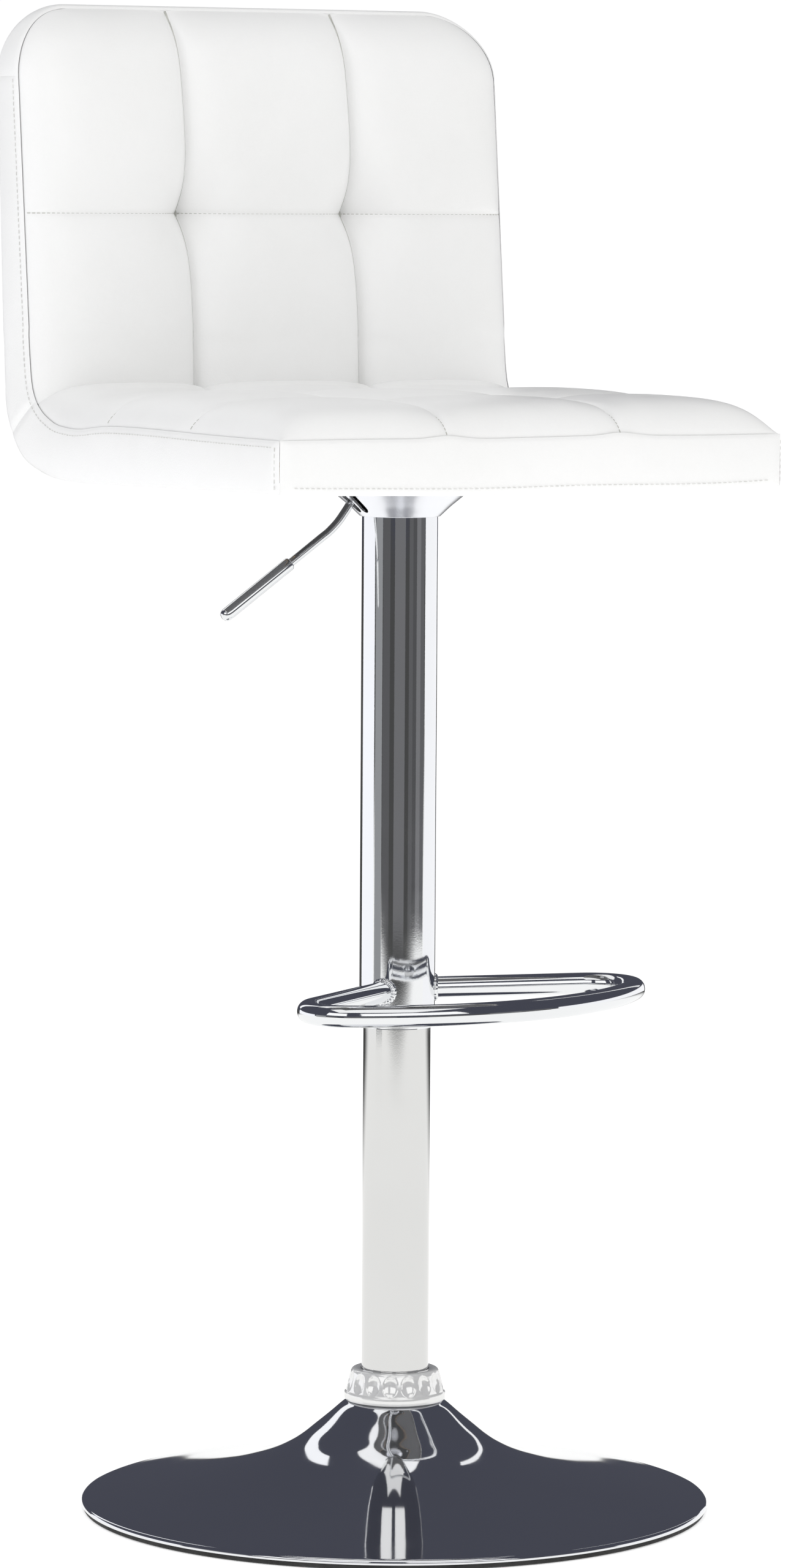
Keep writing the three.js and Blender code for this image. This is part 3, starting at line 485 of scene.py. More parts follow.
def fluted(r, z, angle):
    """Tall oval scoops round the collar."""
    if z < FLUTE_FOOT or r < COLLAR_SKIN:
        return r, z
    u = (((angle / (2 * math.pi) * FLUTES) % 1.0) - 0.5) / FLUTE_HALF_WIDTH
    v = (z - FLUTE_MIDDLE) / FLUTE_HALF_HEIGHT
    return r - FLUTE_DEPTH * max(1 - u * u - v * v, 0) ** 0.7, z


lip = [(35.6, 78.6), (36.2, 79.2), (36.3, 80.4), (36.3, 83.4), (36.1, 84.1), (35.4, 84.6), (35.0, 85.2)]
steps = [k / COLLAR_STEPS for k in range(COLLAR_STEPS + 1)]
wall = [(35.0 - 2.7 * t - 0.4 * t ** 3, 85.4 + 12.4 * t) for t in steps]
crown_edge = [(31.6, 98.9), (31.0, 99.9), (30.1, 100.6), (28.8, 101.0), (25.2, 101.0), (24.4, 100.6)]
bore = [(24.4, 92), (28.2, 88), (31, 84), (34, 79.2)]
collar = lathe("column_collar", lip + wall + crown_edge + bore, 320, fluted)
finish_piece(collar, "pearl", "chrome", "base", "base_collar")

# ------------------------ metal: bell cover with its slots
SLOT_R = 3.5
SLOT_STEPS = 12
SLOTS = ((0.0, 715.0, 748.0), (14.0, 715.0, 736.0))  # turn from the lever in degrees, lower and upper end
SLOT_REACH = (22, 75)                                # the cutters run through the wall between these radii

BELL = spline([(27.4, 712), (28.6, 712.05), (30.2, 713.5), (35.6, 718.6), (41.6, 723.6), (48.6, 729.4),
               (54.4, 734.6), (58.0, 740.0), (59.0, 743.4)], 6)
bell_inside = [(r - 1.5, z + 1.1) for r, z in BELL[::-1][4:-8:3]]
bell_loop = [tuple(p) for p in BELL] + [(57.6, 743.4)] + bell_inside + [(27.4, 715.0)]
bell = lathe("bell_cover_shell", bell_loop, 192)
for turn, z0, z1 in SLOTS:
    half_turn = [math.pi * k / SLOT_STEPS for k in range(SLOT_STEPS + 1)]
    outline = [(SLOT_R * math.cos(a), z1 - SLOT_R + SLOT_R * math.sin(a)) for a in half_turn]
    outline += [(-SLOT_R * math.cos(a), z0 + SLOT_R - SLOT_R * math.sin(a)) for a in half_turn]
    t = math.radians(180 + turn)
    out = np.array([math.cos(t), math.sin(t), 0.0])
    aside = np.array([-math.sin(t), math.cos(t), 0.0])
    ends = [[aside * s + UP * z + out * reach for s, z in outline] for reach in SLOT_REACH]
    k = len(outline)
    faces = [tuple(range(k)), tuple(range(2 * k - 1, k - 1, -1))]
    faces += [(i, (i + 1) % k, k + (i + 1) % k, k + i) for i in range(k)]
    bell = cut(bell, outward(new_object("slot_cut", ends, faces, smooth=False)))
finish_piece(bell, "bell", "satin", "seat", "bell_cover")

# ------------------------ metal: footrest
FOOT_Z = 375.0
FOOT_R = 7.7
YAW = math.radians(10.8)             # the loop stands turned about the column
ARM_START = np.array([19.0, -11.0])  # inside the tube
ARM_AIM = np.array([121.5, -57.3])   # the arms run straight at this point
BEND = 29.8                          # radius of the side bends
ARC = 210.0                          # radius of the front bar
REACH = 153.0                        # from the axis to the front bar

arm = (ARM_AIM - ARM_START) / np.linalg.norm(ARM_AIM - ARM_START)
aside = np.array([arm[1], -arm[0]])
arc_middle = np.array([0.0, ARC - REACH])


def heading(v):
    return math.atan2(v[1], v[0])


def on_circle(centre, radius, angles):
    return [centre + radius * np.array([math.cos(a), math.sin(a)]) for a in angles]


def yawed(x, y, z):
    """A place on the footrest, turned with it about the column."""
    return np.stack([x * math.cos(YAW) - y * math.sin(YAW), x * math.sin(YAW) + y * math.cos(YAW), z], -1)


# The side bend touches both the arm and the front bar's arc.
gap = ARM_START + aside * BEND - arc_middle
along = -(gap @ arm) + math.sqrt((gap @ arm) ** 2 - gap @ gap + (ARC - BEND) ** 2)
bend_middle = ARM_START + arm * along + aside * BEND
bend_start = bend_middle - aside * BEND
bend_end = bend_middle + BEND * (bend_middle - arc_middle) / np.linalg.norm(bend_middle - arc_middle)
a_start = heading(bend_start - bend_middle)
a_end = heading(bend_end - bend_middle)
if a_end > a_start:
    a_end -= 2 * math.pi
half_loop = [ARM_START + (bend_start - ARM_START) * k / 10 for k in range(10)]
half_loop += on_circle(bend_middle, BEND, np.linspace(a_start, a_end, 26))
half_loop += on_circle(arc_middle, ARC, np.linspace(heading(bend_end - arc_middle), -math.pi / 2, 20)[1:])
loop = np.array(half_loop + [(-p[0], p[1]) for p in half_loop[-2::-1]])
foot = sweep("footrest_loop", yawed(loop[:, 0], loop[:, 1], np.full(len(loop), FOOT_Z)), FOOT_R, 40)
foot = cut(foot, lathe("plug", [(0.01, 340), (26.7, 340), (26.7, 410), (0.01, 410)], 96))
finish_piece(foot, "chrome", "chrome", "seat", "footrest_bar")

BEAD_R = 1.9
BEAD_STEPS = 96
BEAD_SIDES = 14
BEAD_RIPPLES = 22
BEAD_LIFT = 0.2  # clear of the arm's and the tube's surfaces


def weld_bead(side, node):
    """A rippled bead on the line where the arm's surface meets the tube's."""
    way = yawed(side * arm[0], arm[1], 0.0)
    start = yawed(side * ARM_START[0], ARM_START[1], FOOT_Z)
    across = np.array([-way[1], way[0], 0.0])
    line = []
    for k in range(BEAD_STEPS):
        a = 2 * math.pi * k / BEAD_STEPS
        q = start + (across * math.cos(a) + UP * math.sin(a)) * (FOOT_R + BEAD_LIFT)
        b = q[:2] @ way[:2]
        reach = -b + math.sqrt(max(b * b - q[:2] @ q[:2] + (TUBE_R + BEAD_LIFT) ** 2, 0))
        line.append(q + way * reach)
    line = np.array(line)
    tangent = unit_rows(np.roll(line, -1, 0) - np.roll(line, 1, 0))
    radial = unit_rows(line * (1, 1, 0))
    beside = np.cross(tangent, radial)
    turn = np.linspace(0, 2 * math.pi, BEAD_SIDES, endpoint=False)
    rows = []
    for k in range(BEAD_STEPS):
        r = BEAD_R * (1 + 0.10 * math.sin(2 * math.pi * k * BEAD_RIPPLES / BEAD_STEPS))
        rows.append([line[k] + radial[k] * (r * 0.9 * math.cos(a) + 0.3) + beside[k] * r * math.sin(a)
                     for a in turn])
    bead = outward(new_object(node + "_bead", rows, grid_faces(BEAD_STEPS, BEAD_SIDES, True, True)))
    finish_piece(bead, "chrome", "chrome", "seat", node)


weld_bead(1, "footrest_weld_right")
weld_bead(-1, "footrest_weld_left")

# ------------------------ metal: lever
LEVER_R = 3.0
PIVOT = (-13, 732)  # X and Z of the lever's pivot
KNEE = np.array([-37.0, 0, 724.6])
LEVER_BEND = np.array([-53.0, 0, 704.6])
LEVER_TIP = np.array([-138.0, 0, 645.0])
GRIP = 65           # length of the grip
GRIP_PAST = 3.5     # it ends this far past the rod's tip
BOSS = ((-9, 4.4), (-8.6, 5.0), (8.6, 5.0), (9, 4.4), (9, 2.3), (-9, 2.3))  # across, radius
GRIP_PROFILE = ((0.0, 3.45), (0.05, 4.1), (0.6, 4.6), (1.4, 4.7), (8, 4.7), (30, 4.7), (58, 4.7), (61, 4.65),
                (62.8, 4.2), (64.1, 3.2), (64.8, 1.8), (65, 0.6), (65.02, 0.3))  # along, radius

way = (LEVER_TIP - LEVER_BEND) / np.linalg.norm(LEVER_TIP - LEVER_BEND)
down = LEVER_BEND - KNEE
rod_path = spline([(9, 0, 732), (-4, 0, 732), (-18, 0, 731.8), (-28, 0, 729.4), KNEE, KNEE + down * 0.45,
                   KNEE + down * 0.8, LEVER_BEND + way * 5, LEVER_BEND + way * 14, LEVER_BEND + way * 50,
                   LEVER_TIP], 8)
rod = sweep("lift_lever_rod", resample(rod_path, 1.6), LEVER_R, 28)
boss = []
for y, r in BOSS:
    turn = np.linspace(0, 2 * math.pi, 40, endpoint=False)
    boss.append([(PIVOT[0] + r * math.cos(a), y, PIVOT[1] + r * math.sin(a)) for a in turn])
rod = join("lift_lever", [rod, outward(new_object("boss", boss, grid_faces(len(BOSS), 40, True, True)))])
finish_piece(rod, "chrome", "chrome", "lever", "lever_rod")
grip_start = LEVER_TIP - way * (GRIP - GRIP_PAST)
grip_path = np.array([grip_start + way * s for s, _ in GRIP_PROFILE])
grip = sweep("lever_grip_sleeve", grip_path, [r for _, r in GRIP_PROFILE], 40)
finish_piece(grip, "chrome", "chrome", "lever", "lever_grip")

# ------------------------ upholstery: shared lines
EDGE_IN = 0.4          # the quilts end this far inside the gussets
CELL_STEP = 3.7        # spacing of the quilts' points
PRESSURE = 1.6         # swelling in the cloth simulation
SWELL_LIMIT = 5.0      # mm that a point may move in the simulation
SIM_FRAMES = 18
ON_SEAM = 0.02         # points nearer to a seam than this are sewn
BY_SEAM = 1.6          # and nearer than this they are half held
FACE_FOOT = 836        # height where the back's flat face starts
REAR_FOOT = (240, 797)  # the rear line's lower end, in Y and Z


def smooth01(t):
    t = np.clip(t, 0, 1)
    return t * t * (3 - 2 * t)


def board_y(z):
    """Front plane of the back's plywood side, before its top rolls back."""
    return 196 + 0.1 * (z - 795)


def back_y(z):
    """Front plane of the back, at its side seam. It rolls back towards the top seam."""
    z = np.asarray(z, float)
    return board_y(z) + 17 * np.clip((z - 1021) / 51, 0, 1) ** 2.4


def back_half(z):
    """Half width of the back at a height: its upper corners are round."""
    k = np.clip(np.asarray(z, float) - (TOP - CORNER), 0, CORNER)
    return HALF - CORNER + np.sqrt(np.maximum(CORNER ** 2 - k ** 2, 0))


def rear_y(z):
    lean = (REAR_TOP - 240.2) / (TOP - REAR_FOOT[1])
    return REAR_FOOT[0] + lean * (np.asarray(z, float) - REAR_FOOT[1])


def graded(marks, step):
    """Values from mark to mark, about a step apart and closer together beside each mark."""
    out = [np.array([marks[0]])]
    for a, b in zip(marks[:-1], marks[1:]):
        count = max(int(round(abs(b - a) / step)), 6)
        t = np.linspace(0, 1, count + 1)[1:]
        out.append(a + (b - a) * (0.72 * (1 - np.cos(math.pi * t)) / 2 + 0.28 * t))
    return np.concatenate(out)


def rise(distance, soft):
    """Climbs from 0 at an edge to 1 away from it."""
    return 1 - np.exp(-np.maximum(distance, 0) / soft)


def groove(distance, deep, narrow, wide_deep, wide):
    """The valley beside a seam: a narrow crease in a wide, soft dip."""
    d = np.abs(distance)
    return deep * np.exp(-((d / narrow) ** 1.1)) + wide_deep * np.exp(-((d / wide) ** 1.4))


def pins(across, along):
    """Pin weights for the simulation: full on seams and rim, half right beside a seam."""
    weights = np.zeros(across.shape)
    weights[(across < ON_SEAM) | (along < ON_SEAM)] = 1.0
    weights[[0, -1], :] = 1.0
    weights[:, [0, -1]] = 1.0
    for d in (across, along):
        weights[(d > ON_SEAM) & (d < BY_SEAM)] = 0.5
    return weights


def settle(name, points, normal, pinned):
    """Lets a stitched sheet swell against its seams in a cloth simulation, and returns its points in mm.

    No point moves further than SWELL_LIMIT from where it started, or off a seam."""
    n, m = points.shape[:2]
    o = new_object(name + "_sheet", points, grid_faces(n, m))
    if o.data.polygons[len(o.data.polygons) // 2].normal @ Vector(normal) < 0:
        o.data.flip_normals()
    group = o.vertex_groups.new(name="seams")
    weights = pinned.reshape(-1)
    for w in np.unique(weights):
        if w > 0:
            group.add([int(i) for i in np.nonzero(weights == w)[0]], float(w), "REPLACE")
    c = o.modifiers.new("cloth", "CLOTH")
    s = c.settings
    s.quality = 5
    s.mass = 0.35
    s.tension_stiffness = s.compression_stiffness = 22
    s.shear_stiffness = 8
    s.bending_stiffness = 3.0
    s.tension_damping = s.compression_damping = 12
    s.air_damping = 4
    s.vertex_group_mass = "seams"
    s.pin_stiffness = 1.0
    s.shrink_min = 0.0
    s.use_pressure = True
    s.uniform_pressure_force = PRESSURE
    s.effector_weights.gravity = 0
    c.collision_settings.use_collision = False
    c.collision_settings.use_self_collision = False
    c.point_cache.frame_start = 1
    c.point_cache.frame_end = SIM_FRAMES
    for f in range(1, SIM_FRAMES + 1):
        bpy.context.scene.frame_set(f)
    graph = bpy.context.evaluated_depsgraph_get()
    co = np.zeros(n * m * 3)
    o.evaluated_get(graph).data.vertices.foreach_get("co", co)
    bpy.context.scene.frame_set(1)
    bpy.data.objects.remove(o)
    now = co.reshape(n, m, 3)
    now[..., 1] -= AY
    now /= MM
    move = now - points
    far = np.linalg.norm(move, axis=2, keepdims=True)
    move *= np.minimum(1, SWELL_LIMIT / np.maximum(far, 1e-6))
    return points + move * (1 - pinned[..., None])


def closed_pad(name, face, under):
    """Joins two sheets over the same grid into one closed pad."""
    points = np.concatenate([face.reshape(-1, 3), under.reshape(-1, 3)])
    o = outward(new_object(name, points, shell_faces(*face.shape[:2])))
    fine = o.modifiers.new("fine", "SUBSURF")
    fine.levels = fine.render_levels = 1
    return apply_modifiers(o)


# Where the side seam turns up from the seat into the back, in (Y, Z).
turn_up = spline([(176, 780.6), (186.5, 787.6), (193.6, 797), (197.4, 810), (201, FACE_FOOT)], 6)


def seat_seam_z(y):
    """Height of the seat's side seam, which dips a little and then climbs towards the back."""
    dips = 1.2 * np.exp(-((y - 20) / 90) ** 2) - 3.5 * np.exp(-((y - 122) / 34) ** 2)
    flat = SEAM + dips + 9 * smooth01((y - 150) / 42)
    return np.where(y < turn_up[0, 0], flat, np.interp(y, turn_up[:, 0], turn_up[:, 1]))


def back_face_y(z):
    return np.where(z > FACE_FOOT, back_y(z), np.interp(z, turn_up[:, 1], turn_up[:, 0]))


# ------------------------ upholstery: seat quilt
SEAT_CROWN = 25.5   # height of the cells above the seam
SEAT_UNDER = 760.2  # the pad's lower side, on the board

side_x = HALF - EDGE_IN
xs = graded([-side_x, -SEAM_X, SEAM_X, side_x], CELL_STEP)
ys = graded([FRONT + 0.3, ROW_FRONT, ROW_REAR, CREASE], CELL_STEP)
Y, X = np.meshgrid(ys, xs, indexing="ij")
to_side = side_x - np.abs(X)
to_front = Y - (FRONT + 0.3)
to_rear = CREASE - Y
dx = np.minimum(np.abs(X - SEAM_X), np.abs(X + SEAM_X))
dy = np.minimum(np.abs(Y - ROW_FRONT), np.abs(Y - ROW_REAR))
crown = SEAT_CROWN * rise(to_side, 13) ** 0.8 * rise(to_front, 13) ** 0.8 * rise(to_rear + 1.5, 6.5)
sag = groove(dx, 4.2, 2.2, 3.4, 17) * (rise(to_front, 10) * 0.9 + 0.1)
sag += groove(dy, 4.0, 2.2, 3.2, 17) * (rise(to_side, 10) * 0.9 + 0.1)
sag += 8.5 * np.exp(-((np.hypot(dx, dy) / 15) ** 1.2))
seat_face = np.stack([X, Y, seat_seam_z(Y) + crown - np.minimum(sag, crown * 0.92)], 2)
seat_face = settle("seat", seat_face, (0, 0, 1), pins(dx, dy))
seat_under = np.stack([X * 0.995, Y, np.full(X.shape, SEAT_UNDER)], 2)
seat_quilt = closed_pad("seat_quilt", seat_face, seat_under)
finish_piece(seat_quilt, "white", "leatherette", "seat", "seat_cushion")

# ------------------------ upholstery: back quilt
BACK_CROWN = 21     # how far the cells stand in front of the seam, low down
CROWN_LOSS = 5      # and how much less at the top
SINK_RIM, SINK = 1.0, 13.5  # how far a valley may sink behind the seam, near the rim and inside

zs = graded([BACK_FOOT, BACK_SEAM, TOP], CELL_STEP)
Z, U = np.meshgrid(zs, xs, indexing="ij")
w = back_half(Z) - EDGE_IN
outer = SEAM_X + (np.abs(U) - SEAM_X) * (w - SEAM_X) / (side_x - SEAM_X)
X = np.where(np.abs(U) <= SEAM_X, U, np.sign(U) * outer)
to_side = w - np.abs(X)
to_top = TOP - Z
past_x, past_z = np.abs(X) - (HALF - CORNER), Z - (TOP - CORNER)
to_round = np.maximum(CORNER - np.hypot(np.maximum(past_x, 0), np.maximum(past_z, 0)), 0)
to_straight = np.minimum(to_side, to_top)
edge = np.where((past_x > 0) & (past_z > 0), np.minimum(to_round, to_straight), to_straight)
dx = np.minimum(np.abs(X - SEAM_X), np.abs(X + SEAM_X))
dz = np.abs(Z - BACK_SEAM)
proud = (BACK_CROWN - CROWN_LOSS * smooth01((Z - 960) / 110)) * rise(edge, 15) ** 0.85 * rise(Z - 775, 16)
valley = groove(dx, 7.5, 2.4, 5.6, 15) * (0.35 + 0.65 * rise(to_top, 14))
valley += groove(dz, 3.2, 1.9, 3.8, 16) * rise(to_side, 12)
valley += 19.0 * np.exp(-((np.hypot(dx, dz * 0.8) / 17) ** 1.25))
stand = np.maximum(proud - valley, np.where(edge < 30, -SINK_RIM, -SINK))
stand = np.where(edge < 0.05, 0.0, stand)
back_face = np.stack([X, back_face_y(Z) - stand, Z], 2)
back_face = settle("back", back_face, (0, -1, 0), pins(dx, dz))
back_under = np.stack([X * 0.995, np.maximum(board_y(Z) + 14.2, back_y(Z) + 1.0), Z], 2)
back_quilt = closed_pad("back_quilt", back_face, back_under)
finish_piece(back_quilt, "white", "leatherette", "seat", "back_cushion")


# ------------------------ upholstery: boxing strips between seams
def strip(name, a, b, normal, puff, rows=14, ends=(0.06, 0.06)):
    """An open sheet between two seam lines, slightly swollen, folded in along each edge.

    ends gives the share of the swelling that is kept at the first and at the last end."""
    a, b = np.asarray(a, float), np.asarray(b, float)
    normal = np.broadcast_to(np.asarray(normal, float), a.shape)
    t = np.linspace(0, 1, rows + 1)
    t = 0.6 * (1 - np.cos(math.pi * t)) / 2 + 0.4 * t
    s = run_length((a + b) / 2)
    near, far = np.minimum(1, s / 5) ** 0.6, np.minimum(1, (s[-1] - s) / 5) ** 0.6
    fade = np.minimum(ends[0] + (1 - ends[0]) * near, ends[1] + (1 - ends[1]) * far)
    points = []
    for u in t:
        bulge = puff * (4 * u * (1 - u)) ** 0.42
        points.append(a * (1 - u) + b * u + normal * (bulge * fade)[:, None])
    points = np.array(points)
    return sharpen(outward(new_object(name, points, grid_faces(*points.shape[:2]))), 60)


def nearest(line, point):
    """Index of the line's nearest point."""
    return int(np.argmin(np.hypot(line[:, 0] - point[0], line[:, 1] - point[1])))


def at_x(line, x):
    return np.stack([np.full(len(line), x), line[:, 0], line[:, 1]], 1)


# The gusset's front and rear seams, in (Y, Z).
seat_seam = np.stack([ys, seat_seam_z(ys)], 1)
back_z = np.linspace(842, TOP - CORNER, 40)
front_run = resample(seat_seam[seat_seam[:, 0] < 172], 4)
side_front = np.vstack([front_run, turn_up, np.stack([back_y(back_z), back_z], 1)])
rear_run = spline([(FRONT, SKIRT + 1.0), (-60, SKIRT - 1.2), (60, SKIRT - 3.4), (104.6, SKIRT - 4.0),
                   (150, SKIRT - 3.0), (180, SKIRT + 1.4), (207.5, SKIRT + 9.6), (223, SKIRT + 22),
                   (232.5, SKIRT + 35), (237.6, SKIRT + 48), (239.6, SKIRT + 72), (240.6, 830)], 8)
rear_z = np.linspace(FACE_FOOT, TOP - CORNER, 30)
side_rear = np.vstack([rear_run, np.stack([rear_y(rear_z), rear_z], 1)])

# Each gusset is sewn from a seat panel and a back panel, which meet at a mitre.
mitre_front, mitre_rear = nearest(side_front, (188, 789)), nearest(side_rear, (225, 767))
PANELS = (("side_panel_seat_", slice(0, mitre_front + 1), slice(0, mitre_rear + 1), 110, 3.2, (0.06, 0.5)),
          ("side_panel_back_", slice(mitre_front, None), slice(mitre_rear, None), 90, 3.0, (0.5, 0.75)))
for side, hand in ((-1, "left"), (1, "right")):
    x = side * (HALF - 0.2)
    panels = []
    for name, front_part, rear_part, count, puff, ends in PANELS:
        a = at_x(evenly(side_front[front_part], count), x)
        b = at_x(evenly(side_rear[rear_part], count), x)
        panels.append(strip(name + hand, a, b, (side, 0, 0), puff, ends=ends))
    finish_piece(join("side_boxing_" + hand, panels), "white", "leatherette", "seat", "gusset_" + hand)

# Top band: up over the two round corners and along the top.
angle = np.linspace(0, math.pi / 2, 26)
FLAT_COUNT = 68
right_arc = np.stack([HALF - CORNER + CORNER * np.cos(angle), TOP - CORNER + CORNER * np.sin(angle)], 1)
flat_x = np.linspace(HALF - CORNER, -(HALF - CORNER), FLAT_COUNT + 2)[1:-1]
left_arc = right_arc[::-1] * (-1, 1)
rim_line = np.vstack([right_arc, np.stack([flat_x, np.full(FLAT_COUNT, TOP)], 1), left_arc])
rim_x = np.concatenate([np.cos(angle), np.zeros(FLAT_COUNT), -np.cos(angle[::-1])])
rim_z = np.concatenate([np.sin(angle), np.ones(FLAT_COUNT), np.sin(angle[::-1])])
rim_normal = np.stack([rim_x, np.zeros(len(rim_x)), rim_z], 1)
front_edge = np.stack([rim_line[:, 0], back_y(rim_line[:, 1]), rim_line[:, 1]], 1) - rim_normal * 0.2
rear_edge = np.stack([rim_line[:, 0], rear_y(rim_line[:, 1]), rim_line[:, 1]], 1) - rim_normal * 0.2
band = strip("top_boxing", front_edge, rear_edge, rim_normal, 3.2, 12, (0.75, 0.75))
finish_piece(band, "white", "leatherette", "seat", "top_band")

# Front band: between the two front corners.
BAND_COUNT = 120
band_x = np.linspace(-(HALF - 0.2), HALF - 0.2, BAND_COUNT)
wave = np.sin(band_x / 31.0) * np.exp(-((band_x / 230) ** 2))
upper_z = SEAM + 0.4 * wave + 2.2 * np.exp(-((np.abs(band_x) - SEAM_X) / 16) ** 2)
lower_z = SKIRT - 1.6 + 0.5 * wave + 2.2 * (np.abs(band_x) / HALF) ** 4
upper_seam = np.stack([band_x, np.full(BAND_COUNT, FRONT), upper_z], 1)
lower_seam = np.stack([band_x, np.full(BAND_COUNT, FRONT + 0.4), lower_z], 1)
front_band = strip("front_boxing", upper_seam, lower_seam, (0, -1, 0), 2.6)
finish_piece(front_band, "white", "leatherette", "seat", "front_band")

# Rear cover: down the back, round the lower corner and under the rear of the seat, as in (Y, Z).
COVER = 1.2  # thickness
COVER_COLUMNS = 60
COVER_END = (62, SKIRT - 3.4)
COVER_SWELL = 2.4
COVER_SOFT = 12
COVER_SINK = 2.6

down_z = np.linspace(TOP, FACE_FOOT, 40)
cover_line = np.vstack([np.stack([rear_y(down_z), down_z], 1), rear_run[::-1]])
cover_line = resample(cover_line[: nearest(cover_line, COVER_END) + 1], 5)
tangent = unit_rows(np.gradient(cover_line, axis=0))
cover_normal = np.stack([-tangent[:, 1], tangent[:, 0]], 1)
if cover_normal[5, 0] < 0:
    cover_normal = -cover_normal
outside, inside = [], []
for k, (y, z) in enumerate(cover_line):
    on_back = k < len(cover_line) // 2
    half = float(back_half(z)) - 0.3 if on_back else HALF - 0.3
    below_top = max(TOP - z, 0) if on_back else 50
    for t in np.linspace(-1, 1, COVER_COLUMNS):
        to_edge = (1 - abs(t)) * half
        swell = (1 - math.exp(-to_edge / COVER_SOFT)) * (1 - math.exp(-below_top / COVER_SOFT))
        bulge = COVER_SWELL * swell - COVER_SINK
        for points, lift in ((outside, bulge), (inside, bulge - COVER)):
            points.append((half * t, y + cover_normal[k, 0] * lift, z + cover_normal[k, 1] * lift))
faces = shell_faces(len(cover_line), COVER_COLUMNS)
rear_panel = sharpen(outward(new_object("rear_panel", np.array(outside + inside), faces)), 60)
finish_piece(rear_panel, "white", "leatherette", "seat", "rear_cover")

# ------------------------ stitches
THREAD_SIDES = 6
THREAD_SHAPE = ((0.0, 0.2), (0.2, 1.0), (0.8, 1.0), (1.0, 0.2))  # along, share of the radius


def stitches(name, path, pitch=4.2, length=3.0, radius=0.32):
    """Short thread stitches laid end to end along a path on the surface."""
    p = resample(path, pitch)
    verts, faces = [], []
    for k in range(len(p) - 1):
        a, b = p[k], p[k] + (p[k + 1] - p[k]) * (length / pitch)
        way = (b - a) / np.linalg.norm(b - a)
        u = np.cross(way, UP if abs(way[2]) < 0.9 else (1.0, 0, 0))
        u /= np.linalg.norm(u)
        v = np.cross(way, u)
        start = len(verts)
        for s, share in THREAD_SHAPE:
            for q in range(THREAD_SIDES):
                turn = 2 * math.pi * q / THREAD_SIDES
                verts.append(a + (b - a) * s + (u * math.cos(turn) + v * math.sin(turn)) * radius * share)
        faces += grid_faces(len(THREAD_SHAPE), THREAD_SIDES, close_m=True, start=start)
        faces.append(tuple(start + q for q in range(THREAD_SIDES - 1, -1, -1)))
        last = start + (len(THREAD_SHAPE) - 1) * THREAD_SIDES
        faces.append(tuple(last + q for q in range(THREAD_SIDES)))
    return new_object(name, np.array(verts), faces)


def index_of(values, target):
    return int(np.argmin(np.abs(values - target)))


# Threads and cords in the quilting seams, lifted a little off the settled sheets. Their grey is painted
# shade: it stands for the shadow at the bottom of each seam groove.
LIFT = 0.25
CORD_R = 0.85
columns = [index_of(xs, -SEAM_X), index_of(xs, SEAM_X)]
back_shift = np.array([0, -LIFT, 0])
seat_shift = UP * LIFT
shaded_seam_lines = []
for c in columns:
    shaded_seam_lines.append(sweep("cord", resample((back_face[:, c] + back_shift)[1:-1], 3.0), CORD_R, 8))
seams = [back_face[index_of(zs, BACK_SEAM)] + back_shift]
seams += [seat_face[:, c] + seat_shift for c in columns]
seams += [seat_face[index_of(ys, row)] + seat_shift for row in (ROW_FRONT, ROW_REAR)]
for line in seams:
    shaded_seam_lines.append(stitches("thread", line[1:-1], 3.6, 2.9, 0.4))
finish_piece(join("quilting_seams", shaded_seam_lines), "crease", "leatherette", "seat")

# Topstitching beside the side seams, along the front band and up its two ends.
BESIDE = 4.6
line = side_front[2:]
tangent = unit_rows(np.gradient(line, axis=0))
beside = line + np.stack([tangent[:, 1], -tangent[:, 0]], 1) * BESIDE
rows = [stitches("thread", at_x(beside, side * (HALF + 2.25))) for side in (-1, 1)]
hem = slice(3, -3)
hem_y = np.full(len(band_x[hem]), FRONT - 2.35)
rows.append(stitches("thread", np.stack([band_x[hem], hem_y, lower_z[hem] + 5.0], 1)))
end_z = np.linspace(SKIRT + 4, SEAM - 3, 12)
for side in (-1, 1):
    end_line = np.stack([np.full(12, FRONT + 3.6), end_z], 1)
    rows.append(stitches("thread", at_x(end_line, side * (HALF + 2.2))))
finish_piece(join("topstitching", rows), "thread", "leatherette", "seat")

# ------------------------ finishes of the nodes that are shown as they are
FASTENERS = [f"{kind}_{i}" for kind in ("washer", "bolt", "t_nut") for i in range(1, 5)]
FINISHES = {
    "black": ["ballast_plate", "column_socket", "piston", "gas_cylinder", "seat_plate"],
    "steel": ["column_end_plate", "bearing_lower_race", "bearing_ball_cage", "bearing_upper_race",
              "rod_collar", "rod_clip", "release_pin", "lever_pivot_pin"] + FASTENERS,
    "rubber": ["rubber_bumper", "cylinder_seal"],
    "plastic": ["guide_bush", "tube_guide_ring"],
    "chrome": ["piston_rod"],
    "ply": ["bent_board"],
    "cloth": ["dust_cover"],
}
for material, names in FINISHES.items():
    for name in names:
        paint(NODES[name], material)
        sharpen(NODES[name], 35)

# ------------------------ studio
AZ = math.radians(-28.47)  # the camera stands in front, on the lever's side
DIST = 4.637
EYE = 0.943
RIGHT = np.array([math.cos(AZ), math.sin(AZ), 0.0])
AWAY = np.array([-math.sin(AZ), math.cos(AZ), 0.0])


def around(side, ahead, height):
    """A place in metres from the stool: to the camera's right, towards the camera, and up."""
    p = RIGHT * side - AWAY * ahead
    return (float(p[0]), float(p[1]) + AY, height)


def plane(name, size, location, turn, material):
    x, y = size[0] / 2, size[1] / 2
    mesh = bpy.data.meshes.new(name)
    mesh.from_pydata([(-x, -y, 0), (x, -y, 0), (x, y, 0), (-x, y, 0)], [], [(0, 1, 2, 3)])
    o = show(bpy.data.objects.new(name, mesh))
    o.location = location
    o.rotation_euler = (0, 0, turn)
    mesh.materials.append(material)
    return o


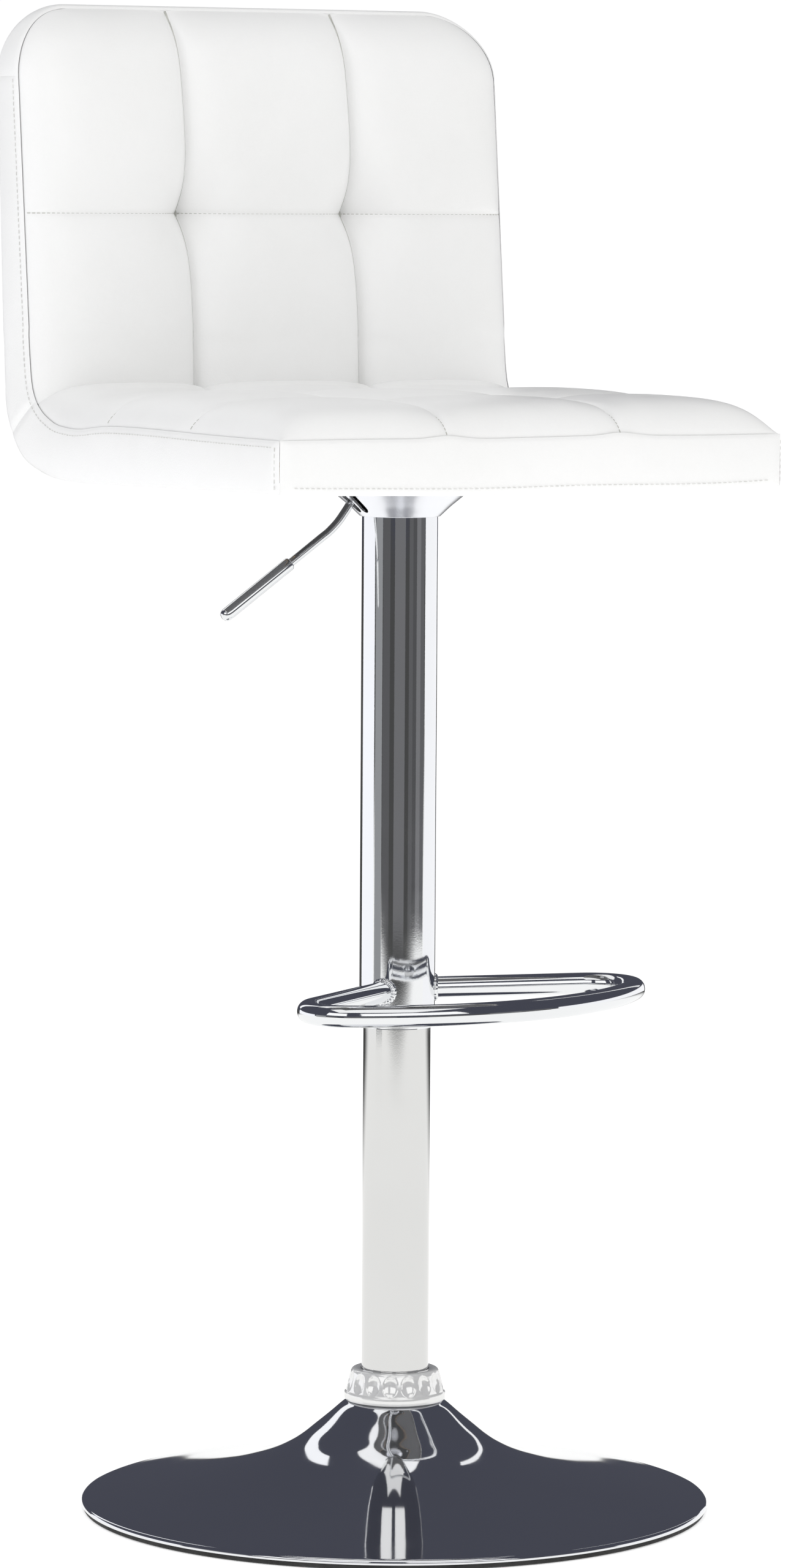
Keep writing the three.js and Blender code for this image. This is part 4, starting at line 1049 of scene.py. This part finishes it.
def flat_material(name, color, rough, emission):
    n = Nodes(name).set(Base_Color=(*color, 1), Roughness=rough)
    n.set(Emission_Color=(*color, 1), Emission_Strength=emission)
    n.link(n.range(n.noise(3), rough - 0.03, rough + 0.03), n.bsdf.inputs["Roughness"])
    return n.mat


def seen_by(o, camera=False, diffuse=False, glossy=False, shadow=False):
    """Limits which rays meet a studio piece."""
    o.visible_camera = camera
    o.visible_diffuse = diffuse
    o.visible_glossy = glossy
    o.visible_shadow = shadow
    o.visible_transmission = False
    return o


def glow(name, color, strength, fade=None):
    """An emitting studio surface. fade=(inner radius, outer radius, dim) dims it away from its centre."""
    m = bpy.data.materials.new(name)
    m.use_nodes = True
    t = m.node_tree
    t.nodes.clear()
    out = t.nodes.new("ShaderNodeOutputMaterial")
    light = t.nodes.new("ShaderNodeEmission")
    light.inputs["Color"].default_value = (*color, 1)
    light.inputs["Strength"].default_value = strength
    t.links.new(light.outputs[0], out.inputs[0])
    if fade:
        place_on = t.nodes.new("ShaderNodeTexCoord")
        length = t.nodes.new("ShaderNodeVectorMath")
        length.operation = "LENGTH"
        spread = t.nodes.new("ShaderNodeMapRange")
        spread.interpolation_type = "SMOOTHSTEP"
        spread.inputs["From Min"].default_value = fade[0]
        spread.inputs["From Max"].default_value = fade[1]
        spread.inputs["To Min"].default_value = strength
        spread.inputs["To Max"].default_value = fade[2]
        t.links.new(place_on.outputs["Object"], length.inputs[0])
        t.links.new(length.outputs["Value"], spread.inputs["Value"])
        t.links.new(spread.outputs["Result"], light.inputs["Strength"])
    return m


def dome(name, radius, material):
    mesh = bpy.data.meshes.new(name)
    bm = bmesh.new()
    bmesh.ops.create_uvsphere(bm, u_segments=48, v_segments=24, radius=radius)
    bm.to_mesh(mesh)
    bm.free()
    mesh.materials.append(material)
    o = show(bpy.data.objects.new(name, mesh))
    return o


def reflector(name, a0, a1, distance, z0, z1, color, strength):
    """An upright curved card, seen only in reflections. Angles run from the camera's side to the right."""
    verts, faces = [], []
    steps = 16
    for k in range(steps + 1):
        a = AZ + math.radians(a0 + (a1 - a0) * k / steps)
        x, y = math.sin(a) * distance, -math.cos(a) * distance + AY
        verts += [(x, y, z0), (x, y, z1)]
        if k:
            faces.append((2 * k - 2, 2 * k, 2 * k + 1, 2 * k - 1))
    mesh = bpy.data.meshes.new(name)
    mesh.from_pydata(verts, [], faces)
    mesh.materials.append(glow(name + "_glow", color, strength))
    o = show(bpy.data.objects.new(name, mesh))
    return seen_by(o, glossy=True)


def area(name, location, target_z, width, height, power, color=(1, 1, 1)):
    """A soft light aimed at a height above the frame's middle. It leaves no reflection of its own."""
    light = bpy.data.lights.new(name, "AREA")
    light.energy = power
    light.color = color
    light.shape = "RECTANGLE"
    light.size = width
    light.size_y = height
    o = show(bpy.data.objects.new(name, light))
    o.location = location
    o.rotation_euler = (Vector((0, 0, target_z)) - Vector(location)).to_track_quat("-Z", "Y").to_euler()
    o.visible_glossy = False
    o.visible_camera = False


floor = plane("floor", (60, 60), (0, 0, 0), 0, flat_material("pale_floor", (0.93, 0.93, 0.93), 0.9, 0.47))
seen_by(floor, camera=True, diffuse=True, shadow=True)
floor_light = glow("floor_glow", (1, 1, 0.99), 1.05, (1.7, 2.7, 0.07))
bright_floor = plane("floor_reflected", (24, 24), around(0, 0.5, 0.0004), AZ, floor_light)
bright_floor.scale = (2.4, 1, 1)
seen_by(bright_floor, glossy=True)
seen_by(dome("backdrop", 28, glow("backdrop_white", (1, 1, 1), 1.02)), camera=True)
seen_by(dome("room", 14, glow("room_dark", (0.066, 0.069, 0.09), 1.0)), glossy=True)

# Camera: 4.6 m off, above the seat's height, looking slightly down.
PITCH, PAN, ROLL = math.radians(5.20), math.radians(-0.043), math.radians(0.344)
LENS, SENSOR = 150.2, 36
eye = np.array([math.sin(AZ) * DIST, -math.cos(AZ) * DIST + AY, EYE])
ahead = AWAY * math.cos(PAN) + RIGHT * math.sin(PAN)
right = RIGHT * math.cos(PAN) - AWAY * math.sin(PAN)
tilted = UP * math.cos(PITCH) + ahead * math.sin(PITCH)
ahead = ahead * math.cos(PITCH) - UP * math.sin(PITCH)
top = tilted * math.cos(ROLL) - right * math.sin(ROLL)
right = right * math.cos(ROLL) + tilted * math.sin(ROLL)
camera = bpy.data.cameras.new("camera")
camera.sensor_width = SENSOR
camera.lens = LENS
camera_object = show(bpy.data.objects.new("camera", camera))
turn = Matrix(np.stack([right, top, -ahead], 1).tolist()).to_4x4()
camera_object.matrix_world = Matrix.Translation(Vector(eye)) @ turn
bpy.context.scene.camera = camera_object

area("key_left", around(-2.6, 1.2, 1.9), 0.7, 1.6, 2.6, 8.5, (0.88, 0.9, 1.0))
area("fill_right", around(2.7, 1.0, 1.7), 0.7, 1.6, 2.6, 4.5, (1.0, 0.98, 0.94))
area("overhead", around(0, 0.3, 3.2), 0.5, 2.6, 2.6, 7)
area("front_soft", around(0.2, 3.2, 2.1), 0.95, 2.4, 2.0, 12)

# Reflectors, each from one bearing to another: the walls give the tube its bands.
WHITE = (1, 1, 1)
WALL = (0.0, 0.66)
STRIP = (0.8, 3.4)
BOX = (1.0, 2.5)
reflector("wall_left", -80, -140, 2.75, *WALL, (0.96, 0.965, 1.0), 1.12)
reflector("wall_grey", -52, -76, 2.7, *WALL, (0.95, 0.97, 1.0), 0.33)
reflector("wall_right", 85, 156, 2.75, *WALL, (0.985, 0.985, 1.0), 1.06)
for a0, a1, level in ((-50, -28, 0.11), (-14, 18, 0.17), (30, 42, 0.12), (42, 54, 0.09), (54, 68, 0.2),
                      (68, 82, 0.13)):
    reflector("wall_dim", a0, a1, 3.6, *WALL, (1.0, 1.0, 1.04), level)
reflector("strip_left", -141, -151, 2.8, *STRIP, (0.98, 0.985, 1.0), 1.1)
reflector("strip_right", 147, 150, 2.8, *STRIP, WHITE, 1.0)
reflector("front_box_left", -52, -9, 2.9, *BOX, WHITE, 1.15)
reflector("front_box_right", 5, 46, 2.9, *BOX, WHITE, 1.15)
top_box = plane("top_box", (2.8, 2.2), around(0, 1.45, 3.0), AZ, glow("top_box_glow", WHITE, 1.0))
seen_by(top_box, glossy=True)

world = bpy.data.worlds.new("world")
bpy.context.scene.world = world
world.use_nodes = True
sky = world.node_tree.nodes["Background"]
sky.inputs["Color"].default_value = (1, 1, 1, 1)
sky.inputs["Strength"].default_value = 0.745

bpy.context.scene.view_settings.view_transform = "Standard"
